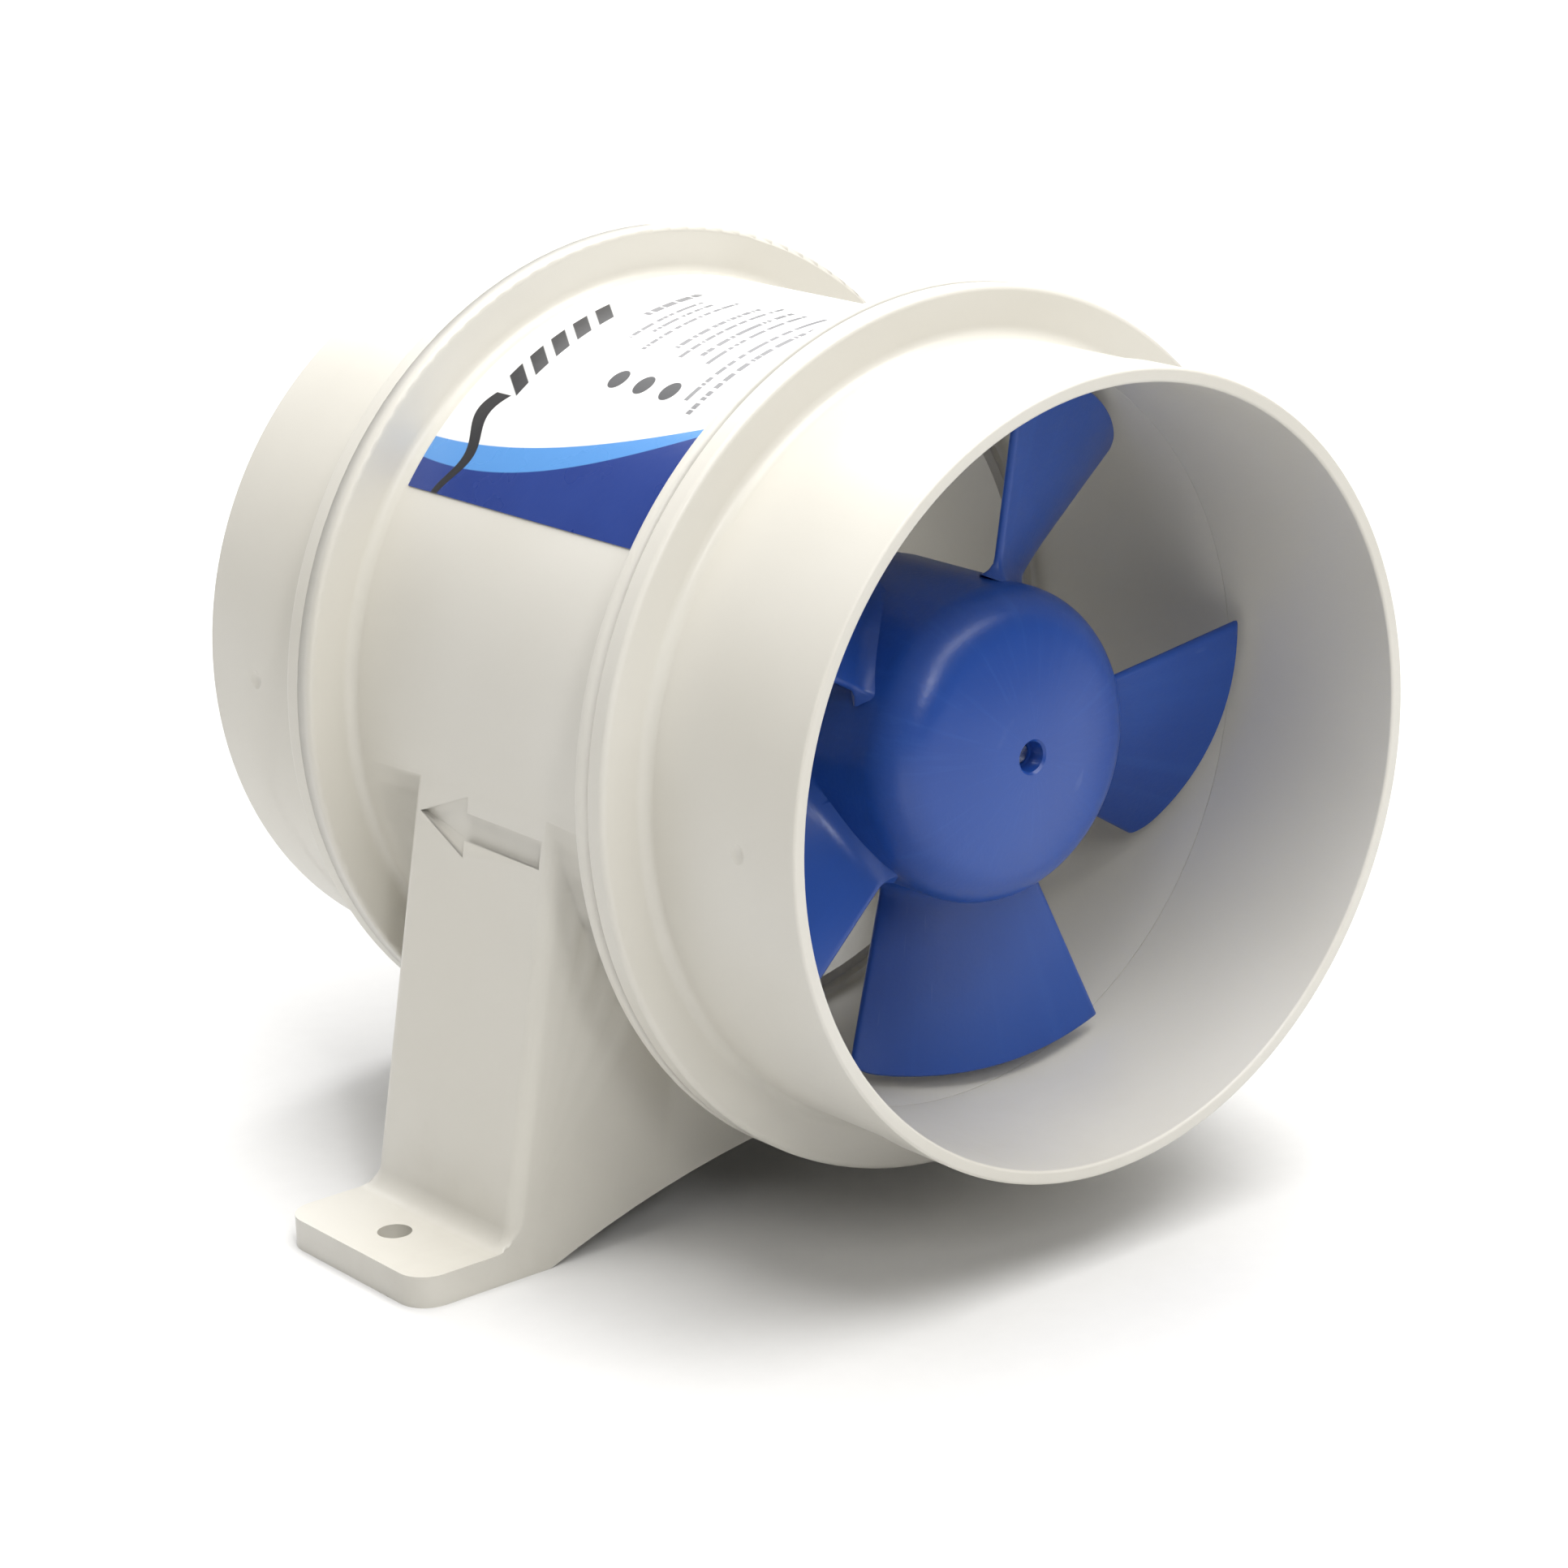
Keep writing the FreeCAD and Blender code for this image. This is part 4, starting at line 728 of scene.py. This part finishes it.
def blade_mesh():
    chordwise, rows = 44, 34
    shares = [-math.cos(math.pi * k / chordwise) for k in range(chordwise + 1)]
    loop = [(share, -1.0) for share in shares] + [(share, 1.0) for share in reversed(shares[1:-1])]
    work = bmesh.new()
    grid = []
    for share, face in loop:
        tip = trimmed_out(share, 0.0)
        line = []
        for row in range(rows + 1):
            part = 1 - (1 - row / rows) ** 1.3
            out = ROOT + (tip - ROOT) * part
            thin = 1.0 if row < rows else TIP_THINNING
            across, along = blade_point(out, share, face * thin)
            line.append(work.verts.new((out, along, AXIS_Z - across)))
        grid.append(line)
    count = len(loop)
    for i in range(count):
        here, after = grid[i], grid[(i + 1) % count]
        for row in range(rows):
            work.faces.new((here[row], here[row + 1], after[row + 1], after[row]))
    for row in (0, rows):
        ends = [line[row] for line in grid]
        work.faces.new((ends[0], ends[1], ends[-1]))
        for k in range(1, chordwise - 1):
            work.faces.new((ends[k], ends[k + 1], ends[-k - 1], ends[-k]))
        work.faces.new((ends[chordwise - 1], ends[chordwise], ends[chordwise + 1]))
    add_rib(work)
    bmesh.ops.recalc_face_normals(work, faces=work.faces)
    bmesh.ops.translate(work, verts=work.verts, vec=(0.0, 0.0, -AXIS_Z))
    mesh = bpy.data.meshes.new("one_blade")
    work.to_mesh(mesh)
    work.free()
    return mesh


def add_rib(work):
    """The stiffening rib between the boss and the hub's wall, behind the blade."""
    near, far = BOSS_RADIUS - RIB_OVERLAP, HUB_BORE + RIB_OVERLAP
    front, rear = NOSE + RIB_FRONT, BOSS_REAR - RIB_REAR
    for vertex in bmesh.ops.create_cube(work, size=1.0)["verts"]:
        vertex.co = Vector((near if vertex.co.x < 0 else far, front if vertex.co.y < 0 else rear,
                            AXIS_Z + (RIB_HALF if vertex.co.z > 0 else -RIB_HALF)))


one_blade = blade_mesh()
print("one blade and rib:", len(one_blade.polygons), "faces")

# %% Turn the hub and set five blades round it
def hub_outline():
    """The hub's closed outline: nose hole, dome, knuckle, wall, and the hollow with its boss."""
    outline = []
    for wall, order in ((0.0, 1), (HUB_RADIUS - HUB_BORE, -1)):
        dome, knuckle, wide = DOME_RADIUS - wall, KNUCKLE - wall, HUB_RADIUS - wall
        centre = NOSE + DOME_RADIUS
        corner_x = wide - knuckle
        corner_y = centre - math.sqrt((dome - knuckle) ** 2 - corner_x ** 2)
        lean = math.atan2(corner_x, centre - corner_y)
        start_radius = NOSE_MOUTH if order == 1 else BOSS_RADIUS + BOSS_FLARE
        first = math.asin(start_radius / dome)
        arc = [Vector((dome * math.sin(first + (lean - first) * k / 16),
                       centre - dome * math.cos(first + (lean - first) * k / 16))) for k in range(17)]
        arc += [Vector((corner_x + knuckle * math.sin(lean + (math.pi / 2 - lean) * k / 12),
                        corner_y - knuckle * math.cos(lean + (math.pi / 2 - lean) * k / 12)))
                for k in range(1, 13)]
        outline.append(arc[::order])
    outer, inner = outline
    rim = [(HUB_RADIUS, HUB_REAR - RIM_ROUND), (HUB_RADIUS - RIM_MIDDLE, HUB_REAR - RIM_MIDDLE),
           (HUB_RADIUS - RIM_ROUND, HUB_REAR), (HUB_BORE, HUB_REAR)]
    boss = [(BOSS_RADIUS, inner[-1].y + BOSS_FLARE), (BOSS_RADIUS, BOSS_REAR - BOSS_ROUND),
            (BOSS_RADIUS - BOSS_ROUND, BOSS_REAR), (SHAFT_BORE, BOSS_REAR), (SHAFT_BORE, SHAFT_FRONT),
            (NOSE_HOLE, SHAFT_FRONT), (NOSE_HOLE, NOSE + MOUTH_DEPTH)]
    return outer + [Vector(point) for point in rim] + inner + [Vector(point) for point in boss]


def impeller_tree(blade_object):
    """Blades turned to even angles on one spot, lifted to the axis and joined to the hub."""
    tree = Repeat("blades_round_hub", {"Blades": BLADES, "First Blade": FIRST_BLADE, "Blade": blade_object})
    line = tree.node("GeometryNodeMeshLine", inputs={
        "Count": tree.given("Blades"), "Offset": (0.0, 0.0, 0.0)})
    number = tree.node("GeometryNodeInputIndex")
    turn = number * (-2 * math.pi / BLADES) - tree.given("First Blade")
    spin = tree.node("ShaderNodeCombineXYZ", inputs={1: turn})
    blade = tree.node("GeometryNodeObjectInfo", inputs={"Object": tree.given("Blade")}, output="Geometry")
    blades = tree.node("GeometryNodeInstanceOnPoints", inputs={
        "Points": line, "Instance": blade, "Rotation": spin})
    raised = tree.node("GeometryNodeTransform", inputs={
        "Geometry": blades, "Translation": (0.0, 0.0, AXIS_Z)})
    solid = tree.node("GeometryNodeRealizeInstances", inputs={0: raised})
    joined = tree.node("GeometryNodeMeshBoolean", {"operation": "UNION", "solver": "EXACT"},
                       {"Mesh 2": tree.given("Geometry")})
    # The join's input takes several links: the hub is on it already, and the blades come second.
    tree.tree.links.new(solid.socket, joined.socket.node.inputs["Mesh 2"])
    tree.end(joined, finishes["blue_plastic"])
    return tree


blade_source = bpy.data.objects.new("one_blade", one_blade)
hub = turned_mesh("impeller_moulding", hub_outline(), HUB_AROUND)
impeller = impeller_tree(blade_source).run(hub, "impeller_moulding")
bpy.data.objects.remove(blade_source)
settle(even_normals(impeller, 40.0), "rotor", "blue_plastic", "impeller")

# %% [markdown]
# ## The sticker itself
# The film is only a sheet, so it is drawn as a grid: even steps round the barrel and along it, an outer
# face, an inner face and the four cut edges, with a UV map for the print.

# %% Wrap the film round the barrel
def make_film():
    low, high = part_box("maker_label")
    top = nodes["maker_label"].data.vertices
    outer = max(math.hypot(vertex.co.x, vertex.co.z - AXIS_Z) for vertex in top)
    inner = min(math.hypot(vertex.co.x, vertex.co.z - AXIS_Z) for vertex in top)
    around, lengthwise = 140, 24
    work = bmesh.new()
    uv = work.loops.layers.uv.new("print")
    sheets = []
    for radius in (outer, inner):
        sheet = []
        for i in range(around + 1):
            angle = math.radians(PRINT_START + PRINT_ANGLE * i / around)
            sheet.append([work.verts.new((radius * math.cos(angle), low.y + (high.y - low.y) * j / lengthwise,
                                          AXIS_Z + radius * math.sin(angle))) for j in range(lengthwise + 1)])
        sheets.append(sheet)
    place = {}
    for sheet in sheets:
        for i, row in enumerate(sheet):
            for j, vertex in enumerate(row):
                place[vertex] = (j / lengthwise, i / around)
    outside, inside = sheets
    faces = []
    for i in range(around):
        for j in range(lengthwise):
            faces.append((outside[i][j], outside[i][j + 1], outside[i + 1][j + 1], outside[i + 1][j]))
            faces.append((inside[i][j], inside[i + 1][j], inside[i + 1][j + 1], inside[i][j + 1]))
    rim = [(i, 0) for i in range(around)] + [(around, j) for j in range(lengthwise)]
    rim += [(i, lengthwise) for i in range(around, 0, -1)] + [(0, j) for j in range(lengthwise, 0, -1)]
    for (i, j), (k, m) in zip(rim, rim[1:] + rim[:1]):
        faces.append((outside[i][j], outside[k][m], inside[k][m], inside[i][j]))
    for corners in faces:
        face = work.faces.new(corners)
        face.smooth = True
        for loop in face.loops:
            loop[uv].uv = place[loop.vert]
    bmesh.ops.recalc_face_normals(work, faces=work.faces)
    mesh = bpy.data.meshes.new("maker_label_film")
    work.to_mesh(mesh)
    work.free()
    return even_normals(new_piece("maker_label_film", mesh, "label_film"))


settle(make_film(), "housing", "label_film", "maker_label")

# %% [markdown]
# ## Stage and light
# A pale floor that curves up behind, a dim pale world for fill, and three soft lamps: a large one above that
# leaves the sides in gentle shade, a larger one over the far floor to keep it white, and a narrow one in
# front and to the left that draws the long highlight on the hub.

# %% Lay the floor and hang the lamps
def make_floor():
    half, bend, rise, radius = 3.0, 1.6, 2.2, 0.6
    profile = [(-half, 0.0), (bend, 0.0)]
    profile += [(bend + radius * math.sin(math.radians(a)), radius * (1 - math.cos(math.radians(a))))
                for a in range(10, 91, 10)]
    profile.append((bend + radius, rise))
    mesh = bpy.data.meshes.new("studio_floor")
    points = [(x, y, z) for y, z in profile for x in (-half, half)]
    quads = [(2 * i, 2 * i + 1, 2 * i + 3, 2 * i + 2) for i in range(len(profile) - 1)]
    mesh.from_pydata(points, [], quads)
    floor = bpy.data.objects.new("studio_floor", mesh)
    bpy.context.scene.collection.objects.link(floor)
    mesh.shade_smooth()
    material, tree, place = start_material("floor_paper")
    grain = noise(tree, place, 300.0, 3.0)
    colour = blend_colour(tree, grain, (0.70, 0.70, 0.70), (0.73, 0.73, 0.73))
    mesh.materials.append(close_material(material, tree, colour, 0.8 + grain * 0.1))
    return floor


def add_lamp(name, place, aim, size, power, tint=(1.0, 1.0, 1.0)):
    lamp = bpy.data.lights.new(name, "AREA")
    lamp.shape = "RECTANGLE"
    lamp.size, lamp.size_y = size
    lamp.energy = power
    lamp.color = tint
    obj = bpy.data.objects.new(name, lamp)
    bpy.context.scene.collection.objects.link(obj)
    obj.location = place
    obj.rotation_euler = (Vector(aim) - Vector(place)).to_track_quat("-Z", "Y").to_euler()
    return obj


def light_world():
    world = bpy.data.worlds.new("studio")
    bpy.context.scene.world = world
    world.use_nodes = True
    backdrop = world.node_tree.nodes["Background"]
    backdrop.inputs["Color"].default_value = (1.0, 0.99, 0.97, 1.0)
    backdrop.inputs["Strength"].default_value = 0.20


floor = make_floor()
light_world()
CENTRE = (0.0, 0.0, AXIS_Z)
bpy.context.scene.view_settings.view_transform = "Standard"
add_lamp("lamp_above", (0.05, -0.2, 1.1), CENTRE, (1.0, 1.2), 21.0, (1.0, 0.99, 0.975))
add_lamp("lamp_far", (0.9, 1.2, 1.3), (0.9, 1.2, 0.0), (1.8, 1.8), 30.0, (1.0, 1.0, 1.0))
add_lamp("lamp_front", (-0.45, -1.0, 0.75), CENTRE, (0.12, 0.40), 2.6, (1.0, 1.0, 1.0))
print("floor and three lamps")
